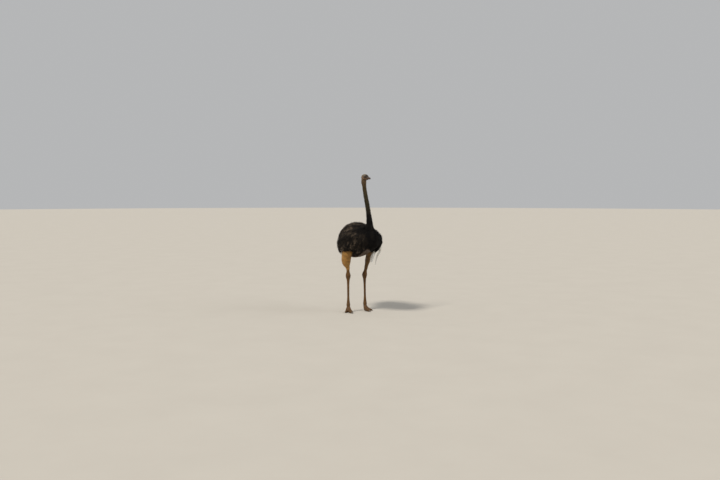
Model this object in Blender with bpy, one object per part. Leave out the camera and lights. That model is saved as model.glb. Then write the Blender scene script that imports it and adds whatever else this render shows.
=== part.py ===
"""A male ostrich standing at rest, life size, as solids from the bill to the claws.

Units are metres with +Z up. The bird faces -Y, its left side is +X, and it stands on the floor at z = 0.
Each solid is as large as the feathers over it, so the outline is the outline of the living bird.
"""

import math

import bmesh
import bpy
import numpy as np
from mathutils import Matrix, Vector

GAP = 0.0003  # clear space between two neighbouring solids
ACROSS = Vector((1.0, 0.0, 0.0))
BACK = Vector((0.0, 1.0, 0.0))
UP = Vector((0.0, 0.0, 1.0))
SIDES = {"right": -1.0, "left": 1.0}

# Trunk, front to back: y, lowest, highest, half the width, height of the widest place.
TRUNK = (
    (-0.655, 1.282, 1.342, 0.022, 1.312),
    (-0.643, 1.220, 1.394, 0.078, 1.308),
    (-0.608, 1.168, 1.440, 0.132, 1.303),
    (-0.545, 1.132, 1.478, 0.182, 1.298),
    (-0.450, 1.100, 1.512, 0.226, 1.290),
    (-0.300, 1.048, 1.544, 0.262, 1.275),
    (-0.150, 0.988, 1.565, 0.280, 1.255),
    (0.000, 0.952, 1.572, 0.284, 1.245),
    (0.150, 0.948, 1.560, 0.266, 1.240),
    (0.300, 0.998, 1.515, 0.222, 1.245),
    (0.420, 1.095, 1.450, 0.165, 1.270),
    (0.500, 1.195, 1.382, 0.102, 1.290),
    (0.540, 1.275, 1.328, 0.020, 1.302),
)
TRUNK_STEPS = 20
TRUNK_COUNT = 24
TRUNK_POWER = 2.05  # 2 is round, and more is squarer
BACK_POWER = 1.82  # the back is a blunt ridge

# Folded wing, front to back: y, outer edge, its height, half the thickness, height above, lower edge.
WING = {
    "right": (
        (-0.490, 0.160, 1.320, 0.022, 0.045, 1.262),
        (-0.462, 0.243, 1.314, 0.050, 0.085, 1.200),
        (-0.420, 0.284, 1.306, 0.058, 0.118, 1.155),
        (-0.330, 0.314, 1.295, 0.064, 0.150, 1.112),
        (-0.180, 0.342, 1.275, 0.070, 0.180, 1.082),
        (-0.030, 0.352, 1.255, 0.074, 0.195, 1.062),
        (0.100, 0.322, 1.225, 0.072, 0.195, 1.022),
        (0.220, 0.272, 1.205, 0.064, 0.180, 1.012),
        (0.330, 0.220, 1.215, 0.052, 0.145, 1.050),
        (0.415, 0.158, 1.225, 0.028, 0.075, 1.130),
    ),
    "left": (
        (-0.490, 0.160, 1.320, 0.022, 0.045, 1.262),
        (-0.462, 0.243, 1.314, 0.050, 0.085, 1.195),
        (-0.420, 0.284, 1.306, 0.058, 0.118, 1.145),
        (-0.330, 0.316, 1.295, 0.064, 0.150, 1.085),
        (-0.180, 0.350, 1.275, 0.070, 0.180, 1.015),
        (-0.030, 0.368, 1.255, 0.074, 0.195, 0.985),
        (0.100, 0.352, 1.240, 0.072, 0.195, 0.985),
        (0.220, 0.306, 1.230, 0.064, 0.180, 1.000),
        (0.330, 0.240, 1.225, 0.052, 0.145, 1.050),
        (0.415, 0.166, 1.225, 0.028, 0.075, 1.130),
    ),
}
WING_STEPS = 15
WING_COUNT = 18
WING_POWER = 2.2
WING_POWER_OVER = 2.6
WING_LEAN_BELOW = 0.10  # how far a wing leans in towards its edges, per metre of depth
WING_LEAN_ABOVE = 1.30

# White plumes under each wing: first and last y, how far out at each, their level, lowest tips, notches.
PLUMES = {
    "left": ((-0.150, 0.330), (0.352, 0.242), 1.110, (0.862, 0.955), 0.040),
    "right": ((0.030, 0.390), (0.292, 0.180), 1.150, (0.990, 0.985), 0.016),
}
PLUME_WIDTH = 0.060
PLUME_STEPS_EACH = 4
PLUME_HALF = 0.016
PLUME_LEAN = 0.18
PLUME_COUNT = 6
PLUME_POWER = 2.4
PLUME_ROUND_END = 0.3  # the first and the last plume thin out over this power of a sine
PLUME_LEAST_END = 0.25
PLUME_ROUND_TIP = 0.7

# Tail, root to tip: along the bunch, y, z, half the width, half the thickness.
TAIL = (
    (0.00, 0.330, 1.400, 0.050, 0.050),
    (0.25, 0.425, 1.372, 0.082, 0.080),
    (0.50, 0.492, 1.296, 0.103, 0.104),
    (0.75, 0.526, 1.190, 0.108, 0.098),
    (0.92, 0.536, 1.092, 0.086, 0.068),
    (1.00, 0.538, 1.040, 0.034, 0.026),
)
TAIL_STEPS = 10
TAIL_COUNT = 12

# Neck, body to head: along it, x, y, z, half the width, half the depth.
NECK = (
    (0.00, 0.000, -0.400, 1.250, 0.140, 0.150),
    (0.12, 0.000, -0.472, 1.370, 0.100, 0.116),
    (0.22, 0.000, -0.508, 1.470, 0.068, 0.080),
    (0.31, -0.002, -0.506, 1.575, 0.047, 0.056),
    (0.41, -0.006, -0.490, 1.690, 0.035, 0.042),
    (0.55, -0.016, -0.455, 1.860, 0.031, 0.037),
    (0.72, -0.034, -0.412, 2.050, 0.029, 0.034),
    (0.87, -0.043, -0.384, 2.200, 0.029, 0.034),
    (0.95, -0.046, -0.377, 2.276, 0.032, 0.042),
    (1.00, -0.045, -0.386, 2.324, 0.025, 0.034),
)
NECK_PARTS = (("neck_lower", 8), ("neck_middle", 7), ("neck_upper", 8))  # cross sections in each length
NECK_COUNT = 14

# Head: where the line between the eyes crosses the middle plane, and the way the bill points.
EYE_LEVEL = Vector((-0.034, -0.420, 2.331))
HEAD_TURN = math.radians(25.0)  # to the bird's left
HEAD_DIP = math.radians(5.0)
# Skull, back to front: along the head, lowest, highest, half the width.
SKULL = (
    (-0.082, -0.010, 0.012, 0.009),
    (-0.070, -0.030, 0.032, 0.026),
    (-0.048, -0.043, 0.045, 0.034),
    (-0.022, -0.045, 0.051, 0.041),
    (0.000, -0.044, 0.052, 0.044),
    (0.022, -0.040, 0.047, 0.039),
    (0.042, -0.034, 0.034, 0.031),
    (0.056, -0.026, 0.019, 0.024),
)
SKULL_STEPS = 12
SKULL_COUNT = 16
SKULL_POWER = 2.15
# Upper bill and lower bill, root to tip: along the head, lowest, highest, half the width.
BILL_UPPER = (
    (0.034, -0.012, 0.018, 0.0270),
    (0.056, -0.012, 0.015, 0.0235),
    (0.078, -0.013, 0.009, 0.0195),
    (0.096, -0.014, 0.003, 0.0150),
    (0.105, -0.016, -0.002, 0.0095),
    (0.109, -0.016, -0.009, 0.0030),
)
BILL_LOWER = (
    (0.022, -0.030, -0.0135, 0.0270),
    (0.056, -0.0285, -0.0145, 0.0215),
    (0.080, -0.0265, -0.0155, 0.0175),
    (0.096, -0.0235, -0.0160, 0.0125),
    (0.103, -0.0205, -0.0170, 0.0050),
)
BILL_STEPS = 7
BILL_COUNT = 12
BILL_POWER = 2.3
EYE_RADIUS = 0.0200
EYE_OUT = 0.0255
EYE_RISE = 0.006
EYE_ROWS = 6
EYE_COUNT = 10
EAR_PLACE = (-0.050, -0.006)  # along the head and above the line of the eyes
EAR_SIZE = (0.0075, 0.0050, 0.0095)  # half its length, depth and height
EAR_OUT = 0.0310
EAR_ROWS = 5
EAR_COUNT = 8

# Legs: hip, knee, hock and ankle, with x for the left side.
KNEE = Vector((0.216, -0.115, 1.130))
HOCK = Vector((0.169, 0.014, 0.636))
ANKLE = Vector((0.172, 0.000, 0.112))
LEG_SHIFT = {  # how far the knee, the hock and the ankle of each leg stand to the left and back
    "right": ((0.000, 0.030), (0.014, 0.012), (0.014, 0.012)),
    "left": ((0.010, 0.030), (0.014, 0.058), (0.014, 0.058)),
}
# Each drumstick's width and depth as shares of the table's, and the degrees that it is turned inwards.
LEG_SHAPE = {"right": (1.0, 1.0, 0.0), "left": (0.62, 0.86, 25.0)}
LEG_EVEN = (0.60, 0.80)  # where along the lower leg both legs become alike
THIGH_EVEN = (0.90, 0.40)  # where along the upper leg both legs are alike again
FOOT_TURN = {"right": 12.0, "left": 4.0}  # degrees outwards
# Upper leg: along it from the hip to the knee, y, z, x, half the width, half the depth.
THIGH = (
    (0.00, 0.130, 1.270, 0.120, 0.040, 0.060),
    (0.15, 0.110, 1.235, 0.140, 0.075, 0.115),
    (0.45, 0.040, 1.160, 0.180, 0.086, 0.140),
    (0.75, -0.030, 1.085, 0.208, 0.080, 0.120),
    (0.93, -0.065, 1.035, 0.218, 0.060, 0.080),
    (1.00, -0.078, 1.010, 0.220, 0.030, 0.040),
)
# Lower leg: 0 at the knee, 1 at the hock, 2 at the ankle; bow out and back, half the width, half the depth.
LEG = (
    (0.00, 0.000, 0.0560, 0.0800),
    (0.14, 0.010, 0.0740, 0.1050),
    (0.32, 0.026, 0.0760, 0.1060),
    (0.46, 0.034, 0.0740, 0.0960),
    (0.57, 0.028, 0.0640, 0.0790),
    (0.66, 0.014, 0.0450, 0.0550),
    (0.74, 0.004, 0.0310, 0.0370),
    (0.84, 0.000, 0.0260, 0.0300),
    (0.93, 0.000, 0.0360, 0.0410),
    (1.00, 0.000, 0.0420, 0.0490),
    (1.06, 0.000, 0.0380, 0.0450),
    (1.14, 0.000, 0.0260, 0.0340),
    (1.25, 0.000, 0.0210, 0.0290),
    (1.50, 0.000, 0.0185, 0.0260),
    (1.76, 0.000, 0.0200, 0.0255),
    (1.90, 0.000, 0.0270, 0.0300),
    (1.98, 0.000, 0.0330, 0.0350),
    (2.05, 0.000, 0.0260, 0.0270),
)
LEG_PARTS = (  # name, colour, where it ends along the leg, cross sections
    ("drumstick", "leg_skin", 0.87, 10),
    ("hock", "shank_scale", 1.15, 6),
    ("shank", "shank_scale", 2.05, 9),
)
BOW_OUT = 0.5
THIGH_STEPS = 9
LEG_COUNT = 14
# Toes, ankle to tip: forward of the ankle, height of the middle, half the width, half the depth.
BIG_TOE = (
    (-0.012, 0.098, 0.021, 0.022),
    (0.012, 0.074, 0.027, 0.031),
    (0.036, 0.042, 0.030, 0.042),
    (0.072, 0.029, 0.031, 0.035),
    (0.105, 0.024, 0.029, 0.030),
    (0.140, 0.022, 0.028, 0.028),
    (0.168, 0.020, 0.024, 0.025),
    (0.184, 0.019, 0.014, 0.016),
)
SMALL_TOE = (
    (-0.006, 0.084, 0.015, 0.016),
    (0.016, 0.060, 0.018, 0.020),
    (0.038, 0.032, 0.019, 0.029),
    (0.066, 0.021, 0.018, 0.025),
    (0.096, 0.017, 0.017, 0.021),
    (0.116, 0.015, 0.013, 0.018),
    (0.128, 0.014, 0.007, 0.010),
)
TOES = {  # name: profile, turn outwards in degrees, start to the outer side
    "toe_big": (BIG_TOE, -4.0, -0.006),
    "toe_small": (SMALL_TOE, 28.0, 0.020),
}
# Claws: forward of the ankle, height of the middle, half the width, half the depth.
CLAWS = {
    "claw_big": ("toe_big", ((0.164, 0.022, 0.0110, 0.0120), (0.190, 0.019, 0.0105, 0.0115),
                             (0.212, 0.011, 0.0070, 0.0080), (0.226, 0.004, 0.0022, 0.0028))),
    "claw_small": ("toe_small", ((0.112, 0.016, 0.0058, 0.0062), (0.130, 0.013, 0.0050, 0.0056),
                                 (0.142, 0.006, 0.0018, 0.0022))),
}
TOE_STEPS = 9
CLAW_STEPS = 5
TOE_COUNT = 10
TOE_POWER = 2.3
CLAW_COUNT = 8

FINISHES = {  # colour and roughness
    "black_feather": ((0.018, 0.016, 0.016), 0.75),
    "white_feather": ((0.74, 0.71, 0.66), 0.80),
    "buff_feather": ((0.42, 0.32, 0.22), 0.80),
    "neck_skin": ((0.20, 0.14, 0.10), 0.80),
    "head_skin": ((0.26, 0.19, 0.14), 0.75),
    "leg_skin": ((0.45, 0.25, 0.14), 0.60),
    "shank_scale": ((0.20, 0.12, 0.07), 0.55),
    "bill_horn": ((0.42, 0.27, 0.15), 0.45),
    "claw_horn": ((0.07, 0.05, 0.04), 0.45),
    "eye": ((0.030, 0.015, 0.008), 0.08),
}


def clear_scene():
    """Removes every object of the startup scene."""
    for old in list(bpy.data.objects):
        bpy.data.objects.remove(old, do_unlink=True)


def finish(name):
    """The material of that name, made the first time it is asked for."""
    made = bpy.data.materials.get(name)
    if made is None:
        colour, roughness = FINISHES[name]
        made = bpy.data.materials.new(name)
        made.use_nodes = True
        shader = made.node_tree.nodes["Principled BSDF"]
        shader.inputs["Base Color"].default_value = (*colour, 1.0)
        shader.inputs["Roughness"].default_value = roughness
        shader.inputs["Metallic"].default_value = 0.0
    return made


def smooth_through(table, steps, start=0.0, end=1.0):
    """Rows at even shares of a table's length, on one smooth curve through the table's rows."""
    rows = np.array(table, float)
    knots = rows[:, 0]
    slopes = np.gradient(rows, knots, axis=0)
    length = knots[-1] - knots[0]
    wanted = knots[0] + length * np.linspace(start, end, steps)
    piece = np.clip(np.searchsorted(knots, wanted, side="right") - 1, 0, len(knots) - 2)
    width = (knots[piece + 1] - knots[piece])[:, None]
    share = (wanted[:, None] - knots[piece][:, None]) / width
    near = (1 + 2 * share) * (1 - share) ** 2
    far = share**2 * (3 - 2 * share)
    leave = share * (1 - share) ** 2 * width
    arrive = share**2 * (share - 1) * width
    return (near * rows[piece] + far * rows[piece + 1]
            + leave * slopes[piece] + arrive * slopes[piece + 1])


def bent(value, power):
    """A sine or cosine bent so that a ring made from it grows squarer as power rises above 2."""
    return math.copysign(abs(value) ** (2.0 / power), value)


def ring(centre, across, upward, half, over, under, count, power=2.0, power_over=None):
    """Points round one cross section: half wide each way, over above the centre and under below it."""
    points = []
    for k in range(count):
        angle = 2.0 * math.pi * k / count
        above = math.sin(angle) > 0.0
        squareness = power_over if above and power_over else power
        reach = half * bent(math.cos(angle), squareness)
        lift = bent(math.sin(angle), squareness) * (over if above else under)
        points.append(centre + across * reach + upward * lift)
    return points


def loft(name, rings, colour, floor=None):
    """One closed solid through rings of points, each end closed by a flat fan."""
    mesh = bmesh.new()
    rows = []
    for points in rings:
        if floor is not None:
            points = [Vector((p.x, p.y, max(p.z, floor))) for p in points]
        rows.append([mesh.verts.new(p) for p in points])
    for row, after in zip(rows, rows[1:]):
        for k in range(len(row)):
            n = (k + 1) % len(row)
            mesh.faces.new((row[k], row[n], after[n]))
            mesh.faces.new((row[k], after[n], after[k]))
    for row in (rows[0], rows[-1]):
        middle = mesh.verts.new(sum((v.co for v in row), Vector()) / len(row))
        for k in range(len(row)):
            mesh.faces.new((middle, row[k], row[(k + 1) % len(row)]))
    bmesh.ops.recalc_face_normals(mesh, faces=mesh.faces)
    data = bpy.data.meshes.new(name)
    mesh.to_mesh(data)
    mesh.free()
    data.shade_smooth()
    data.materials.append(finish(colour))
    made = bpy.data.objects.new(name, data)
    bpy.context.collection.objects.link(made)
    return made


def cutter(made):
    """Turns a solid into a helper that only cuts others."""
    made.hide_render = True
    made.display_type = "WIRE"
    return made


def cut(made, *helpers):
    """Takes each helper's shape out of a solid."""
    for helper in helpers:
        trim = made.modifiers.new("cut_" + helper.name, "BOOLEAN")
        trim.operation = "DIFFERENCE"
        trim.solver = "EXACT"
        trim.object = helper


def trunk_rings(grow):
    """Cross sections of the trunk from the breast to the rump."""
    rings = []
    shares = 0.5 - 0.5 * np.cos(np.linspace(0.0, math.pi, TRUNK_STEPS))
    for share in shares:
        y, low, high, half, wide = smooth_through(TRUNK, 1, share, share)[0]
        y += grow * math.copysign(1.0, share - 0.5)
        rings.append(ring(Vector((0.0, y, wide)), ACROSS, UP,
                          half + grow, high - wide + grow, wide - low + grow,
                          TRUNK_COUNT, TRUNK_POWER, BACK_POWER))
    return rings


def wing_rings(side_name, grow):
    """Cross sections of a folded wing, from its bend at the shoulder to the tips over the rump."""
    side = SIDES[side_name]
    rings = []
    shares = 0.5 - 0.5 * np.cos(np.linspace(0.0, math.pi, WING_STEPS))
    for share in shares:
        y, out, level, half, above, bottom = smooth_through(WING[side_name], 1, share, share)[0]
        y += grow * math.copysign(1.0, share - 0.5)
        points = ring(Vector((0.0, y, level)), ACROSS, UP,
                      half + grow, above + grow, level - bottom + grow,
                      WING_COUNT, WING_POWER, WING_POWER_OVER)
        for point in points:
            drop = level - point.z
            lean = abs(drop) ** 1.5 * (WING_LEAN_BELOW if drop > 0.0 else WING_LEAN_ABOVE)
            point.x = side * (out - half + point.x - lean)
        rings.append(points)
    return rings


def plume_rings(side_name, grow):
    """Upright cross sections of the row of white plumes that hangs under a wing."""
    side = SIDES[side_name]
    (first, last), (out_first, out_last), top, (tip_first, tip_last), notch = PLUMES[side_name]
    plumes = max(2, round((last - first) / PLUME_WIDTH))
    steps = plumes * PLUME_STEPS_EACH
    rings = []
    for k in range(steps + 1):
        share = k / steps
        end = math.sin(math.pi * share) ** PLUME_ROUND_END if 0 < k < steps else PLUME_LEAST_END
        out = out_first + (out_last - out_first) * share
        tip = tip_first + (tip_last - tip_first) * share
        tip += notch * (1.0 - abs(math.sin(math.pi * plumes * share)) ** PLUME_ROUND_TIP)
        tip += (1.0 - end) * (top - tip) / 2.0
        y = first + (last - first) * share
        middle = (top + tip) / 2.0
        reach = (top - tip) / 2.0
        points = ring(Vector((0.0, y, middle)), ACROSS, UP,
                      PLUME_HALF * end + grow, reach + grow, reach + grow, PLUME_COUNT, PLUME_POWER)
        for point in points:
            point.x = side * (out + point.x - PLUME_LEAN * (top - point.z))
        rings.append(points)
    return rings


def path_rings(rows, count, power=2.0, grow=0.0):
    """Cross sections along a bent line. Each row is x, y, z, half the width, half the depth, and its turn."""
    places = [Vector(row[:3]) for row in rows]
    rings = []
    for k, row in enumerate(rows):
        ahead = places[min(k + 1, len(rows) - 1)]
        behind = places[max(k - 1, 0)]
        along = (ahead - behind).normalized()
        width = (ACROSS - along * ACROSS.dot(along)).normalized()
        depth = width.cross(along).normalized()
        turn = math.radians(row[5]) if len(row) > 5 else 0.0
        width, depth = (width * math.cos(turn) - depth * math.sin(turn),
                        depth * math.cos(turn) + width * math.sin(turn))
        ends = (k == len(rows) - 1) - (k == 0)
        rings.append(ring(places[k] + along * grow * ends, width, depth,
                          row[3] + grow, row[4] + grow, row[4] + grow, count, power))
    return rings


def make_trunk():
    """The trunk, and the slightly larger copy that trims what grows from it."""
    trunk = loft("trunk", trunk_rings(0.0), "black_feather")
    return trunk, cutter(loft("trunk_space", trunk_rings(GAP), "black_feather"))


def make_wings(trunk_space):
    """Both folded wings with their rows of white plumes. Returns what their shapes keep clear of."""
    spaces = {}
    for name in SIDES:
        wing = loft("wing_" + name, wing_rings(name, 0.0), "black_feather")
        cut(wing, trunk_space)
        wing_space = cutter(loft("wing_space_" + name, wing_rings(name, GAP), "black_feather"))
        plumes = loft("wing_plumes_" + name, plume_rings(name, 0.0), "white_feather")
        cut(plumes, trunk_space, wing_space)
        plume_space = cutter(loft("plume_space_" + name, plume_rings(name, GAP), "white_feather"))
        spaces[name] = (wing_space, plume_space)
    return spaces


def make_tail(trunk_space, wing_spaces):
    """The drooping bunch of tail plumes."""
    rows = [(0.0, y, z, half, depth) for _, y, z, half, depth in smooth_through(TAIL, TAIL_STEPS)]
    tail = loft("tail", path_rings(rows, TAIL_COUNT), "buff_feather")
    cut(tail, trunk_space, *(spaces[0] for spaces in wing_spaces.values()))


def parted(rings, lengths):
    """Divides one run of cross sections into lengths, with a thin flat cut between each two."""
    parts = []
    first = 0
    for steps in lengths:
        part = list(rings[first:first + steps + 1])
        if first > 0:
            middle, after = (sum(points, Vector()) / len(points) for points in part[:2])
            shift = (after - middle).normalized() * GAP
            part[0] = [p + shift for p in part[0]]
        parts.append(part)
        first += steps
    return parts


def make_neck(trunk_space):
    """The neck in three lengths. Returns its topmost length."""
    steps = [count for _, count in NECK_PARTS]
    rows = [tuple(row[1:]) for row in smooth_through(NECK, sum(steps) + 1)]
    rings = path_rings(rows, NECK_COUNT)
    made = {}
    for (name, _), part in zip(NECK_PARTS, parted(rings, steps)):
        made[name] = loft(name, part, "neck_skin")
    cut(made["neck_lower"], trunk_space)
    return made["neck_upper"]


def head_frame():
    """Turns lengths along, across and above the head into places on the bird."""
    turn = Matrix.Rotation(HEAD_TURN, 4, "Z")
    dip = Matrix.Rotation(HEAD_DIP, 4, "X")
    return Matrix.Translation(EYE_LEVEL) @ turn @ dip


def head_rings(table, steps, count, power, grow=0.0):
    """Cross sections of a head piece from rows of place along it, lowest, highest and half width."""
    frame = head_frame()
    turned = frame.to_3x3()
    rings = []
    for k, (along, low, high, half) in enumerate(smooth_through(table, steps)):
        along += grow * (-1.0 if k == 0 else 1.0 if k == steps - 1 else 0.0)
        middle = (low + high) / 2.0
        reach = (high - low) / 2.0 + grow
        rings.append(ring(frame @ Vector((0.0, -along, middle)), turned @ ACROSS,
                          turned @ UP, half + grow, reach, reach, count, power))
    return rings


def ball(name, centre, sizes, turned, colour, rows, count):
    """A closed egg shape: half its size along each of its own three axes."""
    rings = []
    for k in range(1, rows):
        angle = math.pi * k / rows
        place = centre + turned @ Vector((0.0, 0.0, -sizes[2] * math.cos(angle)))
        wide = sizes[0] * math.sin(angle)
        deep = sizes[1] * math.sin(angle)
        rings.append(ring(place, turned @ ACROSS, turned @ BACK, wide, deep, deep, count))
    return loft(name, rings, colour)


def make_head(neck_upper):
    """Skull, bill, eyes and ears, with the neck trimmed to the skull."""
    frame = head_frame()
    turned = frame.to_3x3()
    head = loft("head", head_rings(SKULL, SKULL_STEPS, SKULL_COUNT, SKULL_POWER), "head_skin")
    grown = head_rings(SKULL, SKULL_STEPS, SKULL_COUNT, SKULL_POWER, GAP)
    space = cutter(loft("head_space", grown, "head_skin"))
    cut(neck_upper, space)
    for name, table in (("bill_upper", BILL_UPPER), ("bill_lower", BILL_LOWER)):
        bill = loft(name, head_rings(table, BILL_STEPS, BILL_COUNT, BILL_POWER), "bill_horn")
        cut(bill, space)
    for name, side in SIDES.items():
        centre = frame @ Vector((side * EYE_OUT, 0.0, EYE_RISE))
        sizes = (EYE_RADIUS, EYE_RADIUS, EYE_RADIUS)
        ball("eye_" + name, centre, sizes, turned, "eye", EYE_ROWS, EYE_COUNT)
        sizes = tuple(size + GAP for size in sizes)
        cut(head, cutter(ball("eye_space_" + name, centre, sizes, turned, "eye", EYE_ROWS, EYE_COUNT)))
        along, above = EAR_PLACE
        centre = frame @ Vector((side * EAR_OUT, -along, above))
        sizes = (EAR_SIZE[1], EAR_SIZE[0], EAR_SIZE[2])
        ball("ear_" + name, centre, sizes, turned, "head_skin", EAR_ROWS, EAR_COUNT)
        sizes = tuple(size + GAP for size in sizes)
        cut(head, cutter(ball("ear_space_" + name, centre, sizes, turned, "head_skin", EAR_ROWS, EAR_COUNT)))


def shaped(side_name, half, depth, station, even_at):
    """One leg's own width, depth and turn at a station, which fade to the table's between two stations."""
    wide, deep, turn = LEG_SHAPE[side_name]
    even = min(max((station - even_at[0]) / (even_at[1] - even_at[0]), 0.0), 1.0)
    own = 1.0 - even * even * (3.0 - 2.0 * even)
    return half * (1.0 + (wide - 1.0) * own), depth * (1.0 + (deep - 1.0) * own), turn * own


def leg_rows(side_name):
    """Rows for a loft from the knee past the hock to the ankle, and the place of the ankle."""
    side = SIDES[side_name]
    joints = [Vector((side * joint.x + left, joint.y + back, joint.z))
              for joint, (left, back) in zip((KNEE, HOCK, ANKLE), LEG_SHIFT[side_name])]
    stations = [LEG[0][0]]
    for _, _, end, steps in LEG_PARTS:
        stations.extend(np.linspace(stations[-1], end, steps + 1)[1:])
    rows = []
    for station in stations:
        share = (station - LEG[0][0]) / (LEG[-1][0] - LEG[0][0])
        _, bow, half, depth = smooth_through(LEG, 1, share, share)[0]
        half, depth, turn = shaped(side_name, half, depth, station, LEG_EVEN)
        joint = 0 if station < 1.0 else 1
        place = joints[joint].lerp(joints[joint + 1], station - joint)
        rows.append((place.x + side * bow * BOW_OUT, place.y + bow, place.z, half, depth, turn))
    return rows, joints[2]


def make_leg(side_name, trunk_space, wing_spaces):
    """One leg from the thigh to the claws, standing flat on the floor."""
    side = SIDES[side_name]
    rows = [(side * x, y, z, *shaped(side_name, half, depth, station, THIGH_EVEN))
            for station, y, z, x, half, depth in smooth_through(THIGH, THIGH_STEPS)]
    thigh = loft("thigh_" + side_name, path_rings(rows, LEG_COUNT), "leg_skin")
    cut(thigh, trunk_space, *wing_spaces)
    grown = path_rings(rows, LEG_COUNT, grow=GAP)
    thigh_space = cutter(loft("thigh_space_" + side_name, grown, "leg_skin"))
    rows, ankle = leg_rows(side_name)
    steps = [steps for _, _, _, steps in LEG_PARTS]
    made = {}
    for (name, colour, _, _), part in zip(LEG_PARTS, parted(path_rings(rows, LEG_COUNT), steps)):
        made[name] = loft(f"{name}_{side_name}", part, colour)
    cut(made["drumstick"], trunk_space, *wing_spaces, thigh_space)
    grown = path_rings(rows, LEG_COUNT, grow=GAP)[-steps[-1] - 1:]
    make_foot(side_name, ankle, cutter(loft("shank_space_" + side_name, grown, "shank_scale")))


def make_foot(side_name, ankle, shank_space):
    """The toes and claws under one ankle."""
    spaces = {}
    for name, (table, turn, start) in TOES.items():
        rows = toe_rows(side_name, ankle, table, turn, start, TOE_STEPS)
        rings = path_rings(rows, TOE_COUNT, TOE_POWER)
        toe = loft(f"{name}_{side_name}", rings, "shank_scale", floor=0.0)
        cut(toe, shank_space, *spaces.values())
        rings = path_rings(rows, TOE_COUNT, TOE_POWER, GAP)
        spaces[name] = cutter(loft(f"{name}_space_{side_name}", rings, "shank_scale", floor=-GAP))
    for name, (toe_name, table) in CLAWS.items():
        _, turn, start = TOES[toe_name]
        rows = toe_rows(side_name, ankle, table, turn, start, CLAW_STEPS)
        claw = loft(f"{name}_{side_name}", path_rings(rows, CLAW_COUNT), "claw_horn", floor=0.0)
        cut(claw, spaces[toe_name])


def toe_rows(side_name, ankle, table, turn, start, steps):
    """Rows for a toe or claw that runs forward from the ankle and outwards by an angle."""
    side = SIDES[side_name]
    angle = math.radians(turn + FOOT_TURN[side_name])
    rows = []
    for forward, middle, half, depth in smooth_through(table, steps):
        outward = start + forward * math.sin(angle)
        rows.append((ankle.x + side * outward, ankle.y - forward * math.cos(angle), middle, half, depth))
    return rows


def set_origin():
    """Moves the bird so that the origin lies on the floor under the middle of its whole box."""
    bpy.context.view_layer.update()
    graph = bpy.context.evaluated_depsgraph_get()
    points = []
    for made in bpy.context.scene.objects:
        if made.type == "MESH" and not made.hide_render:
            solid = made.evaluated_get(graph).to_mesh()
            points.extend(made.matrix_world @ v.co for v in solid.vertices)
    low = Vector([min(p[k] for p in points) for k in range(3)])
    high = Vector([max(p[k] for p in points) for k in range(3)])
    place = bpy.data.objects.new("ostrich", None)
    bpy.context.collection.objects.link(place)
    for made in bpy.context.scene.objects:
        if made.type == "MESH":
            made.parent = place
    place.location = (-(low.x + high.x) / 2.0, -(low.y + high.y) / 2.0, -low.z)


def main():
    clear_scene()
    _, trunk_space = make_trunk()
    wing_spaces = make_wings(trunk_space)
    make_tail(trunk_space, wing_spaces)
    neck_upper = make_neck(trunk_space)
    make_head(neck_upper)
    for side_name in SIDES:
        make_leg(side_name, trunk_space, wing_spaces[side_name])
    set_origin()


if __name__ == "__main__":
    main()
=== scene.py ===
"""A male ostrich standing at rest: one skin under a coat of mesh feathers, with bill, eyes and claws."""

import logging
import math
from dataclasses import dataclass, field
from enum import Enum

import bmesh
import bpy
import numpy as np
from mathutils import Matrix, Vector
from mathutils.bvhtree import BVHTree


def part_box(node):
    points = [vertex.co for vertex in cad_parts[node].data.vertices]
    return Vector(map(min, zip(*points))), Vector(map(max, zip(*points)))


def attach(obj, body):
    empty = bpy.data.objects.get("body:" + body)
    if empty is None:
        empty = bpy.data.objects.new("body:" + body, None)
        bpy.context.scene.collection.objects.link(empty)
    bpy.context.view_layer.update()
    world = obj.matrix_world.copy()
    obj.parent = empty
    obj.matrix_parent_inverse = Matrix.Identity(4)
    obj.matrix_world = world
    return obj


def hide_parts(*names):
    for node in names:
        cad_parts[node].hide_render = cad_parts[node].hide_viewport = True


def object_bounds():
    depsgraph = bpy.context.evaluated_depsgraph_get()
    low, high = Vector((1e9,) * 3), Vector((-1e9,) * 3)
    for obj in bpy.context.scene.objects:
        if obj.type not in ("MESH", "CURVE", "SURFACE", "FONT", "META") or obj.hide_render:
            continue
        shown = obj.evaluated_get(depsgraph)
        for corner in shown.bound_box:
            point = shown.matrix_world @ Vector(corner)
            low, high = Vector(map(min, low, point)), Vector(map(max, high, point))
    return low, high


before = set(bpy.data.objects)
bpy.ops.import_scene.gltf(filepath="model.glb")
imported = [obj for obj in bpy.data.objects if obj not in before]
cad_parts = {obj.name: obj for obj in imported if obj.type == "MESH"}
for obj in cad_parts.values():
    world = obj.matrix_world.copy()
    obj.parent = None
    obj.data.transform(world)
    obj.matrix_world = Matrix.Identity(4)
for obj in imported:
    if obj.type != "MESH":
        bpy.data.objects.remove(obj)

LOG = logging.getLogger("ostrich")
Array, Chance = np.ndarray, np.random.Generator
Piece, Mesh, Material, Socket = bpy.types.Object, bpy.types.Mesh, bpy.types.Material, bpy.types.NodeSocket
UP = np.array([0.0, 0.0, 1.0])
ACROSS = np.array([1.0, 0.0, 0.0])
ACROSS_VIEW = np.array([0.906, -0.423, 0.0])  # from left to right, as the bird is seen from its front right
BODY = "root"
PATCH = 0.003  # how wide one tuft is on the bake map
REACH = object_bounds()[1][0] + 0.004  # how far to each side the coat spreads freely


# ---- small sums

def smooth(value: Array, low: float, high: float) -> Array:
    """Shares that rise smoothly from 0 at low to 1 at high, or fall where low is above high."""
    share = np.clip((value - low) / (high - low), 0.0, 1.0)
    return share * share * (3.0 - 2.0 * share)


def unit(vectors: Array) -> Array:
    """Vectors of length 1 along the last axis."""
    return vectors / np.maximum(np.linalg.norm(vectors, axis=-1, keepdims=True), 1e-9)


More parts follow.
